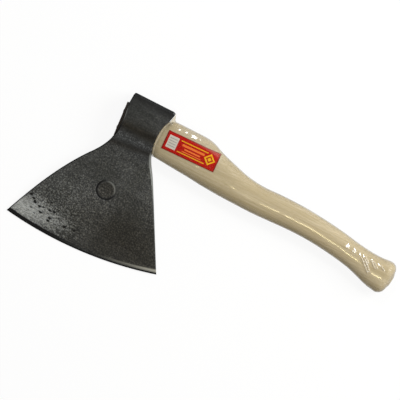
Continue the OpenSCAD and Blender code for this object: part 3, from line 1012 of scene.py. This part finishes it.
def birch(handle):
    """Sanded birch, unvarnished, with the dipped end of its tenon.

    Birch gives the eye a pale even ground with fine long streaks about 1.3 mm wide, broad soft bands of the
    year rings and short pores, all along the handle, and next to no shine. Real pores are about 0.1 mm wide,
    too fine to show, so they are drawn about 1 mm wide.
    """
    material, add = new_material("sanded_birch")
    at = add("TexCoord", out="Object")
    streak, band, pore = (
        noise(add, at, size, detail, Distortion=0.3)
        for size, detail in (((70, 1.3, 1.3), 3), ((190, 9, 9), 2), ((5, 1.1, 1.1), 2))
    )
    grain = add("Math", (streak, 0.55), operation="MULTIPLY")
    grain = add("Math", (band, 0.45, grain), operation="MULTIPLY_ADD")
    wood = painted(add, handle.pale, [
        (add("MapRange", (grain, 0.36, 0.66)), handle.dark),
        (add("MapRange", (pore, 0.5, 0.75, 0, 0.7)), handle.dark),
        (add("Attribute", out="Fac", attribute_name="stain"), handle.stain),
    ])
    end_opaque(add, {
        "Base Color": wood,
        "Roughness": add("MapRange", (streak, 0, 1, 0.55, 0.75)),
        "Specular IOR Level": 0.2,
    }, streak, 0.25, 0.2)
    return material


def cut_with(piece, cutters):
    """Cuts the seats of other pieces into a piece."""
    for cutter in cutters:
        cut = piece.modifiers.new("seat", "BOOLEAN")
        cut.operation = "DIFFERENCE"
        cut.solver = "EXACT"
        cut.object = cutter
    ready = piece.evaluated_get(bpy.context.evaluated_depsgraph_get())
    cut_mesh = bpy.data.meshes.new_from_object(ready)
    piece.modifiers.clear()
    piece.data = cut_mesh


# Wedges

WEDGE_SIDES = 48
WEDGE_STEPS = 12
WEDGE_CAP_STEPS = 4
WEDGE_SQUARE = 9
WOOD_IN = 0.2
# What is left of a wedge's thickness at its tip, and how far its driven end is rounded over
STEEL_TIP, STEEL_ROUND = 1 / 7, 0.4
WOOD_TIP, WOOD_ROUND = 1 / 5, 0.2


def wedge_surface(start, depth, halves, tips, middle_y, round_end, skew):
    """Points and faces of a wedge: squarish sections that narrow evenly from its driven end to its tip.

    halves are its half sizes in Y and Z, and tips what is left of them at the tip. The driven end is rounded
    over by round_end, leans with the tenon's saw cut and is closed by shrinking rings, and so is the tip.
    """
    turn = full_turn(WEDGE_SIDES)
    outline = signed_power(np.stack([np.cos(turn), np.sin(turn)]), 2 / WEDGE_SQUARE)
    part = np.concatenate([[0, 0], np.linspace(0, 1, WEDGE_STEPS)[1:]])
    x = start + depth * part
    x[1] = start + round_end
    inset = np.zeros(len(x))
    inset[0] = round_end
    y, z = (
        (half * (1 + (tip - 1) * part) - inset)[:, None] * across
        for half, tip, across in zip(halves, tips, outline)
    )
    skin = np.stack(np.broadcast_arrays(x[:, None], middle_y + y, z), -1)
    middles = np.stack([x, np.full(len(x), middle_y), np.zeros(len(x))], -1)
    caps = [end_cap(skin[i], middles[i], WEDGE_CAP_STEPS) for i in (0, -1)]
    whole = np.concatenate([caps[0][::-1], skin, caps[1]])
    whole[..., 0] -= math.tan(skew) * whole[..., 1] * (1 - ease((whole[..., 0] - start) / SKEW_FADE))
    return join_grids([whole], wrap_columns=True)


def wedge_wood(wedges):
    """Hardwood wedge, sawn and dipped with the tenon: dark, with end grain in lines about 0.6 mm apart."""
    material, add = new_material("dipped_hardwood_end_grain")
    grain = noise(add, add("TexCoord", out="Object"), (8, 2.5, 0.6), 3)
    shown = painted(add, wedges.wood_dark, [(grain, wedges.wood_pale)])
    end_opaque(add, {"Base Color": shown, "Roughness": 0.7}, grain, 0.4, 0.2)
    return material


def wedge_steel(wedges):
    """Mild steel wedge, driven: dulled grey metal with hammer scuffs about 2 mm across and specks of rust."""
    material, add = new_material("driven_mild_steel")
    at = add("TexCoord", out="Object")
    scuff = noise(add, at, 2, 3)
    rust = add("MapRange", (noise(add, at, 1.2, 2), 0.55, 0.72, 0, 0.8))
    end_opaque(add, {
        "Base Color": painted(add, wedges.steel, [(rust, wedges.rust)]),
        "Roughness": add("MapRange", (scuff, 0, 1, 0.35, 0.65)),
        "Metallic": 0.9,
    }, scuff, 0.4, 0.2)
    return material


# Label

LABEL_LIFT = 0.16
LABEL_Y = 4.2
LABEL_START = 30.6
LABEL_COLUMNS = 120
LABEL_ROWS = 44
LABEL_EDGES = np.s_[0], np.s_[-1], np.s_[:, 0], np.s_[:, -1]
# The print, in millimetres: border, blank panel, bars, diamond and paper fibre
BORDER_H = 1.6
BORDER_L = 2.4
PANEL_IN = 9.5
BARS_X = 2
DIAMOND_IN = 10
FIBRE = 0.5


def label_surface(head, handle, label):
    """Points, faces and print coordinates of the label: a sheet bent over the handle's upper face.

    A point of the print, in millimetres from the label's middle, lies on the face of the section there, grown
    by the label's lift, and the paper's thickness is grown on that.
    """
    stations = handle_stations(head, handle)
    u, v = np.meshgrid(
        np.linspace(-label.size_l / 2, label.size_l / 2, LABEL_COLUMNS),
        np.linspace(-label.size_h / 2, label.size_h / 2, LABEL_ROWS),
    )
    c, s = math.cos(label.turn), math.sin(label.turn)
    x = LABEL_START + label.size_l / 2 + u * c - v * s
    y = LABEL_Y + u * s + v * c
    sheets = [np.stack([x, y, face_over(stations, x, y, LABEL_LIFT + t)], -1) for t in (0, label.paper_t)]
    rims = [np.stack([sheet[edge] for sheet in sheets]) for edge in LABEL_EDGES]
    flat = np.stack([u, v, np.zeros(u.shape)], -1)
    printed = [flat, flat] + [np.stack([flat[edge]] * 2) for edge in LABEL_EDGES]
    return join_grids(sheets + rims), np.concatenate([p.reshape(-1, 3) for p in printed])


def face_over(stations, x, y, grow):
    """Height of the handle's upper face, grown by grow, over points of the side view."""
    middle, half_h, half_w, square = along_stations(stations, x)
    reach = np.minimum(np.abs((y - middle) / (half_h + grow)), 1)
    return (half_w + grow) * (1 - reach ** square) ** (1 / square)


def printed_paper(label):
    """Coated paper, offset printed: flat inks with crisp edges and a half gloss, over fine paper fibre.

    The print is a red ground with a deep red border, a blank ruled panel, plain bars and a yellow diamond,
    which is where the distances along both axes add up to less than its half size.
    """
    material, add = new_material("offset_printed_coated_paper")
    at = add("Attribute", out="Vector", attribute_name="print")
    across = add("SeparateXYZ", [at])
    upward = across.node.outputs["Y"]
    half_l, half_h = label.size_l / 2, label.size_h / 2
    bars = [
        *((label.deep_red, 0, y, label.size_l, BORDER_H) for y in (half_h, -half_h)),
        *((label.deep_red, x, 0, BORDER_L, label.size_h) for x in (half_l, -half_l)),
        (label.white, PANEL_IN - half_l, 0, 12, 15),
        *((label.grey, PANEL_IN - half_l, y, 9, 0.7) for y in (-4.5, -1.5, 1.5, 4.5)),
        *((label.yellow, BARS_X, y, 34, 1.1) for y in (6.4, -7)),
        (label.orange, BARS_X, 2.4, 28, 2.6),
        (label.orange, BARS_X, -1.6, 20, 1.8),
        (label.orange, BARS_X, -4.6, 24, 1),
    ]
    inks = []
    for ink, x, y, wide, high in bars:
        inside = [
            add("Math", (axis, middle, size / 2), operation="COMPARE")
            for axis, middle, size in ((across, x, wide), (upward, y, high))
        ]
        inks.append((add("Math", inside, operation="MULTIPLY"), ink))
    from_middle = add("Math", (across, half_l - DIAMOND_IN), operation="SUBTRACT")
    reaches = [add("Math", [axis], operation="ABSOLUTE") for axis in (from_middle, upward)]
    reach = add("Math", reaches, operation="ADD")
    for ink, half in ((label.yellow, 7), (label.red, 4.6), (label.yellow, 2.6)):
        inks.append((add("Math", (reach, half), operation="LESS_THAN"), ink))
    fibre = add("TexNoise", {"Vector": at, "Scale": 1 / FIBRE, "Detail": 2})
    end_opaque(add, {
        "Base Color": painted(add, label.red, inks),
        "Roughness": add("MapRange", (fibre, 0, 1, 0.38, 0.52)),
        "Specular IOR Level": 0.06,
    }, fibre, 0.1, 0.05)
    return material


# Shrink film

FILM_SIDES = 160
FILM_CROWD = 0.5
FILM_BREAKS = (36, 100, 266)
FILM_STEPS = (44, 56, 170)
FILM_KNOB_STEPS = 9
HOLE_STEPS = 6
HOLE_RAGGED = 0.12
MOUTH_START = 30.5
MOUTH_CLEAR = 0.5
MOUTH_STEPS = 18
MOUTH_LONG = 9
# The mouth on the poll's side: cosine of the turn where it starts, how far it climbs and stays off the top
POLL_SIDE, POLL_CLIMB, POLL_KEEP = 0.55, 7.2, 2
# The mouth's rim: how far it stands off the wood in Y, in Z and more in Z on the broad sides
RIM_OFF_Y, RIM_OFF_Z, RIM_BROAD_Z = 0.6, 0.5, 0.3
# Pleats of the rim: size, share of it away from the poll's side, push in X and stretch in Z
PLEAT, PLEAT_REST, PLEAT_X, PLEAT_Z = 0.35, 0.2, 0.6, 0.03
# Pull of the film towards the wood half way down from the mouth
HUG = (0.0, -0.8, -0.3)
# Share of the way from the mouth that is crumpled: least, more on the poll's side, uneven by
CRUMPLE_LEAST, CRUMPLE_POLL, CRUMPLE_UNEVEN = 0.12, 0.45, 0.05
# Where on that way the crumple starts to fade, and its strength away from the poll's side
CRUMPLE_FADE, CRUMPLE_REST = 0.04, 0.35
# Radii that make millimetres of turns round the handle, the mouth and the hole
FILM_ROUND, MOUTH_ROUND, HOLE_ROUND = 20, 15, 12
# Sizes and seeds of the waves of the slack film, the hole's rim, the pleats and the end of the crumple
SLACK_WAVES, HOLE_WAVES, PLEAT_WAVES, CRUMPLE_WAVES = (26, 41), (9, 47), (7, 53), (6, 59)
# Bubbles: place along X, height on the section, half length, half width, rise
FILM_BUBBLES = (
    (76, -8.5, 3, 2.6, 0.45),
    (163, -1, 2.4, 2.2, 0.14),
)
# Flats: place along X, height on the section, heading in degrees, half length, half width, slope along X
FILM_FLATS = (
    (41, 19, 0, 3.4, 1.8, 0.113),
    (50, 19.6, 0, 3.4, 1.8, 0.1),
    (58.5, 19.4, 0, 9, 2.9, 0.113),
    (273.5, 6, -50, 4.8, 3.2, 0.23),
    (282.5, 6, -50, 4.8, 3.2, 0.23),
    (291, 7, -45, 3.8, 1.6, 0.23),
    (295.5, 8, -45, 3.4, 1.4, 0.23),
    (306, 9.5, -40, 3.6, 1.7, 0.23),
    (315, 10.5, -35, 3.2, 1.5, 0.23),
)
FLAT_RISE = 0.35
FLAT_FALL = 0.38
# Folds: lines on the knob from one place in the side view to another
FILM_FOLDS = (
    (293, -15, 311, -30),
    (295, -13.5, 312.5, -28),
    (297, -12.5, 305, -19.5),
    (304.5, -13.5, 315, -21.5),
    (307, -13, 317, -20),
    (317, -14, 325, -18.5),
)
FOLD_HALF_W = 0.7
FOLD_ENDS = 6
# Milk along the folds, where the film lies double, which also stands in for their highlights: painted
# highlight
FOLD_HAZE = 0.8
SLACK_RISE = 0.16
# Milky slack film above the label, which also brightens it as a painted sheen
SLACK_X = 62
SLACK_HALF_L = 26
SLACK_FROM = 13
SLACK_FULL = 19
SLACK_HAZE = 0.35


def taut_flats(stations, x, y_off):
    """Height of the film where it spans taut: small tilted planes that end in crisp rims."""
    y = along_stations(stations, x)[0] + y_off
    base = face_over(stations, x, y, 0)
    rise = 0.0
    for at_x, at_off, heading, long_mm, wide_mm, slope in FILM_FLATS:
        there = np.array([float(at_x)])
        at_y = along_stations(stations, there)[0] + at_off
        dx, dy = x - at_x, y - at_y
        plane = face_over(stations, there, at_y, FLAT_RISE) + slope * dx - FLAT_FALL * dy
        c, s = math.cos(math.radians(heading)), math.sin(math.radians(heading))
        away = np.hypot((dx * c + dy * s) / long_mm, (dy * c - dx * s) / wide_mm)
        rise = rise + np.maximum(plane - base, 0) * bump(away ** 4)
    return rise


def knob_folds(film, x, y):
    """Height of the film's folds over side-view points: ridges along lines, bell-shaped across them."""
    rise = 0.0
    for from_x, from_y, to_x, to_y in FILM_FOLDS:
        run = math.hypot(to_x - from_x, to_y - from_y)
        c, s = (to_x - from_x) / run, (to_y - from_y) / run
        along = ((x - from_x) * c + (y - from_y) * s) / run
        across = (y - from_y) * c - (x - from_x) * s
        ends = ease(FOLD_ENDS * along) * ease(FOLD_ENDS * (1 - along))
        rise = np.maximum(rise, film.fold * bump(across / FOLD_HALF_W) * ends)
    return rise


def upper_side(turn):
    """1 on the upper side of the film and 0 on the underside, which the hatchet lies on."""
    return step(np.sin(turn), 0, 0.5)


def film_wrinkles(film, stations, x, y_off, turn):
    """Height of the film above its even gap: slack waves, bubbles, taut flats and the folds at the knob.

    Nothing stands off on the underside.
    """
    slack = 0.5 * SLACK_RISE * (1 + waves(x, turn * FILM_ROUND, *SLACK_WAVES))
    bubbles = 0.0
    for at_x, at_y, long_mm, wide_mm, high in FILM_BUBBLES:
        bubbles = bubbles + high * near(x, at_x, long_mm) * near(y_off, at_y, wide_mm)
    folds = knob_folds(film, x, along_stations(stations, x)[0] + y_off)
    return upper_side(turn) * (slack + bubbles + np.maximum(taut_flats(stations, x, y_off), folds))


def film_haze(film, x, y, y_off, turn):
    """How milky the film is on the upper side: along its folds, where it lies double, and where slack. The
    milk along the folds also stands in for their highlights, a painted highlight, and the milk where slack
    adds a painted sheen.
    """
    doubled = knob_folds(film, x, y) / film.fold
    slack = near(x, SLACK_X, SLACK_HALF_L) * step(y_off, SLACK_FROM, SLACK_FULL)
    return upper_side(turn) * np.maximum(FOLD_HAZE * doubled, SLACK_HAZE * slack)


def film_turns():
    """Turns of the film's points round the handle, crowded on the upper side, where the wrinkles are."""
    even = full_turn(FILM_SIDES)
    return even + FILM_CROWD * np.cos(even)


def film_skin(head, handle, film, grow):
    """Points and masks of one skin of the film, from its mouth at the head to the hole over the knob's end.

    At the mouth each line of the film runs to the end of the head, flares against it and is crumpled there.
    Over the knob the skin follows its rounding and the end face inwards to a ragged hole. The masks tell
    where the film is milky, and where it is lifted off the wood by wrinkles.
    """
    stations = handle_stations(head, handle)
    knob = handle.reach - handle.knob_round
    turn = film_turns()[None]
    x = graded((*FILM_BREAKS, knob), FILM_STEPS)[:, None]
    middle = along_stations(stations, x)[0]
    y_off = handle_skin(handle, stations, x, turn)[..., 1] - middle
    rise = film_wrinkles(film, stations, x, y_off, turn)
    body = handle_skin(handle, stations, x, turn, grow + rise)
    bend = np.linspace(0, np.pi / 2, FILM_KNOB_STEPS)[1:, None]
    radius = handle.knob_round + grow
    rounded = handle_skin(
        handle, stations, x[-1:], turn, grow + rise[-1:] * np.cos(bend),
        inset=radius * (1 - np.cos(bend)), push=radius * np.sin(bend),
    )
    rim = rounded[-1]
    ragged = waves(np.cos(turn[0]) * HOLE_ROUND, np.sin(turn[0]) * HOLE_ROUND, *HOLE_WAVES)
    hole = film.hole * (1 + HOLE_RAGGED * ragged)
    part = np.linspace(0, 1, HOLE_STEPS)[1:, None, None]
    closing = rim.mean(0) + (rim - rim.mean(0)) * (1 - part * (1 - hole[None, :, None]))
    mouth, crumple = film_mouth(head, handle, stations, body[0], turn, grow)
    skin = np.concatenate([mouth, body, rounded, domed(closing, rim, handle.knob_dome)])
    masks = {"crumple": np.zeros(skin.shape[:2]), "lift": np.zeros(skin.shape[:2])}
    on_body = slice(len(mouth), len(mouth) + len(body))
    masks["crumple"][:len(mouth)] = crumple
    # Milk on the body along the folds and where slack, partly painted highlight and painted sheen
    masks["crumple"][on_body] = film_haze(film, x, middle + y_off, y_off, turn)
    masks["lift"][on_body] = ease((rise - SLACK_RISE) / FLAT_RISE)
    return skin, masks


def film_mouth(head, handle, stations, ring, turn, grow):
    """Rings from the film's rim at the head to its first even ring, and how crumpled they are.

    The rim runs along the end of the head, up to the corner on the poll's side, and is pleated. From there
    the film drops to the wood, on the poll's side with the fourth power of what is left of the way.
    """
    end = handle_skin(handle, stations, np.full((1, 1), MOUTH_START), turn)[0]
    pollward = step(np.cos(turn[0]), POLL_SIDE, 1)
    round_mouth = turn * MOUTH_ROUND
    pleated = PLEAT_REST + (1 - PLEAT_REST) * pollward
    pleat = PLEAT + PLEAT * pleated * waves(round_mouth[0], 0 * turn[0], *PLEAT_WAVES)
    rim_y = end[:, 1] + np.sign(end[:, 1]) * RIM_OFF_Y + POLL_CLIMB * pollward
    beside = np.clip(rim_y, BLADE_TOP_Y, head.poll_y - POLL_KEEP)
    rim_x = at_height(heel_side(head), beside)[:, 0] + MOUTH_CLEAR
    rim_z = end[:, 2] + np.sign(end[:, 2]) * (RIM_OFF_Z + RIM_BROAD_Z * np.abs(np.sin(turn[0])) + grow)
    rim_y = rim_y + pollward * pleat + grow
    rim = np.stack([rim_x + PLEAT_X * pleat, rim_y, rim_z * (1 + PLEAT_Z * pleat)], -1)
    part = np.linspace(0, 1, MOUTH_STEPS)[:-1, None, None]
    left = (1 - part) ** np.stack([np.ones(pollward.shape), 1 + 3 * pollward, np.ones(pollward.shape)], -1)
    hug = part * (1 - part) * np.array(HUG) * np.sign(ring - np.array([0, 1, 0]))
    uneven = CRUMPLE_UNEVEN * waves(round_mouth, 0 * turn + part[..., 0] * MOUTH_LONG, *CRUMPLE_WAVES)
    run = CRUMPLE_LEAST + CRUMPLE_POLL * pollward + uneven
    strength = CRUMPLE_REST + (1 - CRUMPLE_REST) * pollward
    crumple = strength * (1 - ease((part[..., 0] - CRUMPLE_FADE) / run))
    return ring + (rim - ring) * left + hug, crumple


def film_surface(head, handle, film):
    """Points, faces and masks of the film: its outer skin to the hole, its inner skin back to the mouth."""
    outer, outer_masks = film_skin(head, handle, film, film.gap + film.film_t)
    inner, inner_masks = film_skin(head, handle, film, film.gap)
    surface = join_grids([np.concatenate([outer, inner[::-1]])], wrap_rows=True, wrap_columns=True)
    return surface, {key: np.concatenate([outer_masks[key], inner_masks[key][::-1]]) for key in outer_masks}


def shrink_film(film):
    """Clear heat-shrunk film: lets nearly all light through, mirrors lamps in sharp glints, pale edge on.

    Its mirror grows where it is seen along its skin, so the wood pales towards the outline, and where a
    wrinkle lifts it off the wood. It scatters light and turns milky where it is crumpled, along the folds and
    where it is slack above the label, and slightly where it is seen along its skin. The milk along the folds
    also stands in for their highlights, a painted highlight, and the milk where slack adds a painted sheen.
    """
    material, add = new_material("clear_heat_shrunk_film")
    slant = add("LayerWeight", {"Blend": 0.5}, "Facing")
    steep = add("Math", (slant, 4), operation="POWER")
    lift = add("Attribute", out="Fac", attribute_name="lift")
    crumple = add("Attribute", out="Fac", attribute_name="crumple")
    head_on = add("MapRange", (lift, 0, 1, 0.007, 0.034))
    mirror_part = add("MapRange", (steep, 0, 1, head_on, 0.48))
    through = add("BsdfTransparent", [painted(add, film.tint, [(steep, film.haze)])])
    mirror = add("BsdfGlossy", {"Color": (0.9, 0.9, 0.9, 1), "Roughness": 0.12})
    clear = add("MixShader", (mirror_part, through, mirror))
    along_skin = add("Math", (slant, 2), operation="POWER")
    veil = add("Math", (along_skin, 0.2), operation="MULTIPLY")
    milky_part = add("Math", (crumple, 0.6, veil), operation="MULTIPLY_ADD")
    milk = add("BsdfDiffuse", [film.milk])
    add("OutputMaterial", [add("MixShader", (milky_part, clear, milk))])
    return material


# Stage

SENSOR = 36.0
VIEW_END = 10
STAGE_SIZE = 6.0
WHITE = (1, 1, 1, 1)
# Lamps: place and aim, width and height, in metres
KEY_LAMP = (1.05, 0.85, 1.15), (0, 0, 0), 1, 1
SPOT_LAMP = (-0.35, 0.77, 1.17), (0.05, 0.05, 0), 0.18, 0.18
STRIP_LAMP = (0.15, -0.27, 1.3), (0.15, 0.05, 0), 0.11, 0.05
# Height in the sky's unit sphere at which the dim ceiling starts and is full
CEILING = (0.5, 0.9)


def looking_rays(add):
    """1 for rays that look at a surface or mirror it or pass on to it, 0 for those that only light."""
    looking = add("LightPath", out="Is Camera Ray")
    rays = looking.node.outputs
    for ray in ("Is Glossy Ray", "Is Transmission Ray"):
        looking = add("Math", (looking, rays[ray]), operation="MAXIMUM")
    return looking


def pale_floor(stage):
    """Matt card, white to the eye with a soft shadow on it, and greyer in the light it throws back."""
    material, add = new_material("matt_white_card")
    looking = looking_rays(add)
    card = add("BsdfDiffuse", [painted(add, stage.bounce, [(looking, stage.floor)])])
    glow = add("Emission", (stage.floor, 1))
    glow_part = add("Math", (looking, 1 - stage.shade), operation="MULTIPLY")
    add("OutputMaterial", [add("MixShader", (glow_part, card, glow))])
    return material


def lay_floor(stage):
    """A square floor at the height that the hatchet rests on."""
    half = STAGE_SIZE / 2
    corners = [(-half, -half, 0), (half, -half, 0), (half, half, 0), (-half, half, 0)]
    mesh = bpy.data.meshes.new("floor")
    mesh.from_pydata(corners, [], [(0, 1, 2, 3)])
    mesh.materials.append(pale_floor(stage))
    floor = bpy.data.objects.new("floor", mesh)
    bpy.context.scene.collection.objects.link(floor)


def hang_lamp(name, at, aim, wide, high, watts, tint=WHITE):
    """A rectangular lamp that hangs at a place and points at another."""
    lamp = bpy.data.lights.new(name, "AREA")
    lamp.shape = "RECTANGLE"
    lamp.size = wide
    lamp.size_y = high
    lamp.energy = watts
    lamp.color = tint[:3]
    hung = bpy.data.objects.new(name, lamp)
    hung.location = at
    hung.rotation_euler = (Vector(aim) - Vector(at)).to_track_quat("-Z", "Y").to_euler()
    bpy.context.scene.collection.objects.link(hung)


def light_world(stage):
    """Even light from all round, white to rays that look at it, but with a dim ceiling straight overhead."""
    world = bpy.data.worlds.new("studio")
    world.use_nodes = True
    world.node_tree.nodes.clear()
    add = partial(add_node, world.node_tree)
    upward = add("SeparateXYZ", [add("TexCoord", out="Generated")], "Z")
    looked_at = add("MapRange", (upward, *CEILING, 1, stage.ceiling))
    strength = add("MapRange", (looking_rays(add), 0, 1, stage.sky, looked_at))
    add("OutputWorld", [add("Background", (stage.floor, strength))])
    bpy.context.scene.world = world


def set_camera(stage):
    """A camera straight above the hatchet, rolled against the handle's line."""
    camera = bpy.data.cameras.new("camera")
    camera.sensor_width = SENSOR
    camera.lens = SENSOR * stage.distance / stage.field
    camera.clip_end = VIEW_END
    held = bpy.data.objects.new("camera", camera)
    look = place(np.array([stage.look_x, stage.look_y, 0.0]))
    held.location = (look[0], look[1], look[2] + stage.distance * MM)
    held.rotation_euler = (0, 0, stage.roll)
    bpy.context.scene.collection.objects.link(held)
    bpy.context.scene.camera = held


# Operators

class HATCHET_OT_stage(bpy.types.Operator):
    """Lays the floor, hangs the lamps and sets the camera"""

    bl_idname = "hatchet.stage"
    bl_label = "Stage"

    def execute(self, context):
        stage, = read_settings(context, "stage")
        context.scene.view_settings.view_transform = "Standard"
        lay_floor(stage)
        light_world(stage)
        hang_lamp("key", *KEY_LAMP, stage.key)
        hang_lamp("spot", *SPOT_LAMP, stage.spot)
        hang_lamp("strip", *STRIP_LAMP, stage.strip, stage.glow)
        set_camera(stage)
        return {"FINISHED"}


class HATCHET_OT_axe_head(bpy.types.Operator):
    """Forges the head"""

    bl_idname = "hatchet.axe_head"
    bl_label = "Axe head"

    def execute(self, context):
        head, = read_settings(context, "head")
        surface, masks = head_surface(head)
        make_piece("axe_head", surface, forged_steel(head, masks), masks)
        return {"FINISHED"}


class HATCHET_OT_wedges(bpy.types.Operator):
    """Makes the wooden wedge and the two steel wedges that cross it"""

    bl_idname = "hatchet.wedges"
    bl_label = "Wedges"

    def execute(self, context):
        head, handle, wedges = read_settings(context, "head", "handle", "wedges")
        end = tenon_end(head, handle)
        steel = wedge_steel(wedges)
        halves = wedges.steel_t / 2, wedges.steel_w / 2
        driven = []
        for name, side in (("steel_wedge_upper", 1), ("steel_wedge_lower", -1)):
            surface = wedge_surface(
                end - wedges.steel_proud, wedges.steel_d, halves, (STEEL_TIP, 1), side * wedges.steel_y,
                STEEL_ROUND, handle.tenon_skew,
            )
            driven.append(make_piece(name, surface, steel))
        halves = TENON_HALF_H - WOOD_IN, wedges.wood_t / 2
        surface = wedge_surface(
            end - wedges.wood_proud, wedges.wood_d, halves, (1, WOOD_TIP), 0, WOOD_ROUND, handle.tenon_skew
        )
        wood = make_piece("wood_wedge", surface, wedge_wood(wedges))
        cut_with(wood, driven)
        return {"FINISHED"}


class HATCHET_OT_handle(bpy.types.Operator):
    """Shapes the handle and cuts the seats of the wedges into its tenon"""

    bl_idname = "hatchet.handle"
    bl_label = "Handle"

    def execute(self, context):
        head, handle = read_settings(context, "head", "handle")
        surface, masks = handle_surface(head, handle)
        piece = make_piece("handle", surface, birch(handle), masks)
        names = ("wood_wedge_look", "steel_wedge_upper_look", "steel_wedge_lower_look")
        cut_with(piece, [bpy.data.objects[name] for name in names])
        return {"FINISHED"}


class HATCHET_OT_label(bpy.types.Operator):
    """Lays the paper label on the handle"""

    bl_idname = "hatchet.label"
    bl_label = "Label"

    def execute(self, context):
        head, handle, label = read_settings(context, "head", "handle", "label")
        surface, printed = label_surface(head, handle, label)
        make_piece("label", surface, printed_paper(label), vectors={"print": printed})
        return {"FINISHED"}


class HATCHET_OT_film(bpy.types.Operator):
    """Shrinks the film on the handle"""

    bl_idname = "hatchet.film"
    bl_label = "Shrink film"

    def execute(self, context):
        head, handle, film = read_settings(context, "head", "handle", "film")
        surface, masks = film_surface(head, handle, film)
        make_piece("shrink_film", surface, shrink_film(film), masks)
        return {"FINISHED"}


OPERATORS = (
    HATCHET_OT_stage,
    HATCHET_OT_axe_head,
    HATCHET_OT_wedges,
    HATCHET_OT_handle,
    HATCHET_OT_label,
    HATCHET_OT_film,
)


class HATCHET_PT_panel(bpy.types.Panel):
    """Lists the hatchet's pieces and its settings"""

    bl_idname = "HATCHET_PT_panel"
    bl_label = "Hatchet"
    bl_space_type = "VIEW_3D"
    bl_region_type = "UI"
    bl_category = "Hatchet"

    def draw(self, context):
        for operator in OPERATORS:
            self.layout.operator(operator.bl_idname)
        settings = context.scene.hatchet
        for part in settings.__annotations__:
            box = self.layout.box()
            box.label(text=part.capitalize())
            group = getattr(settings, part)
            for key in group.__annotations__:
                box.prop(group, key)


CLASSES = (
    HeadSettings,
    HandleSettings,
    WedgeSettings,
    LabelSettings,
    FilmSettings,
    StageSettings,
    HatchetSettings,
    *OPERATORS,
    HATCHET_PT_panel,
)


def register():
    """Registers the classes and hangs the settings on the scene."""
    for cls in CLASSES:
        bpy.utils.register_class(cls)
    bpy.types.Scene.hatchet = bpy.props.PointerProperty(type=HatchetSettings)


def unregister():
    """Takes the settings and the classes away again."""
    del bpy.types.Scene.hatchet
    for cls in reversed(CLASSES):
        bpy.utils.unregister_class(cls)


def main():
    """Builds the whole hatchet on its stage."""
    register()
    for operator in OPERATORS:
        group, name = operator.bl_idname.split(".")
        getattr(getattr(bpy.ops, group), name)()


if __name__ == "__main__":
    main()
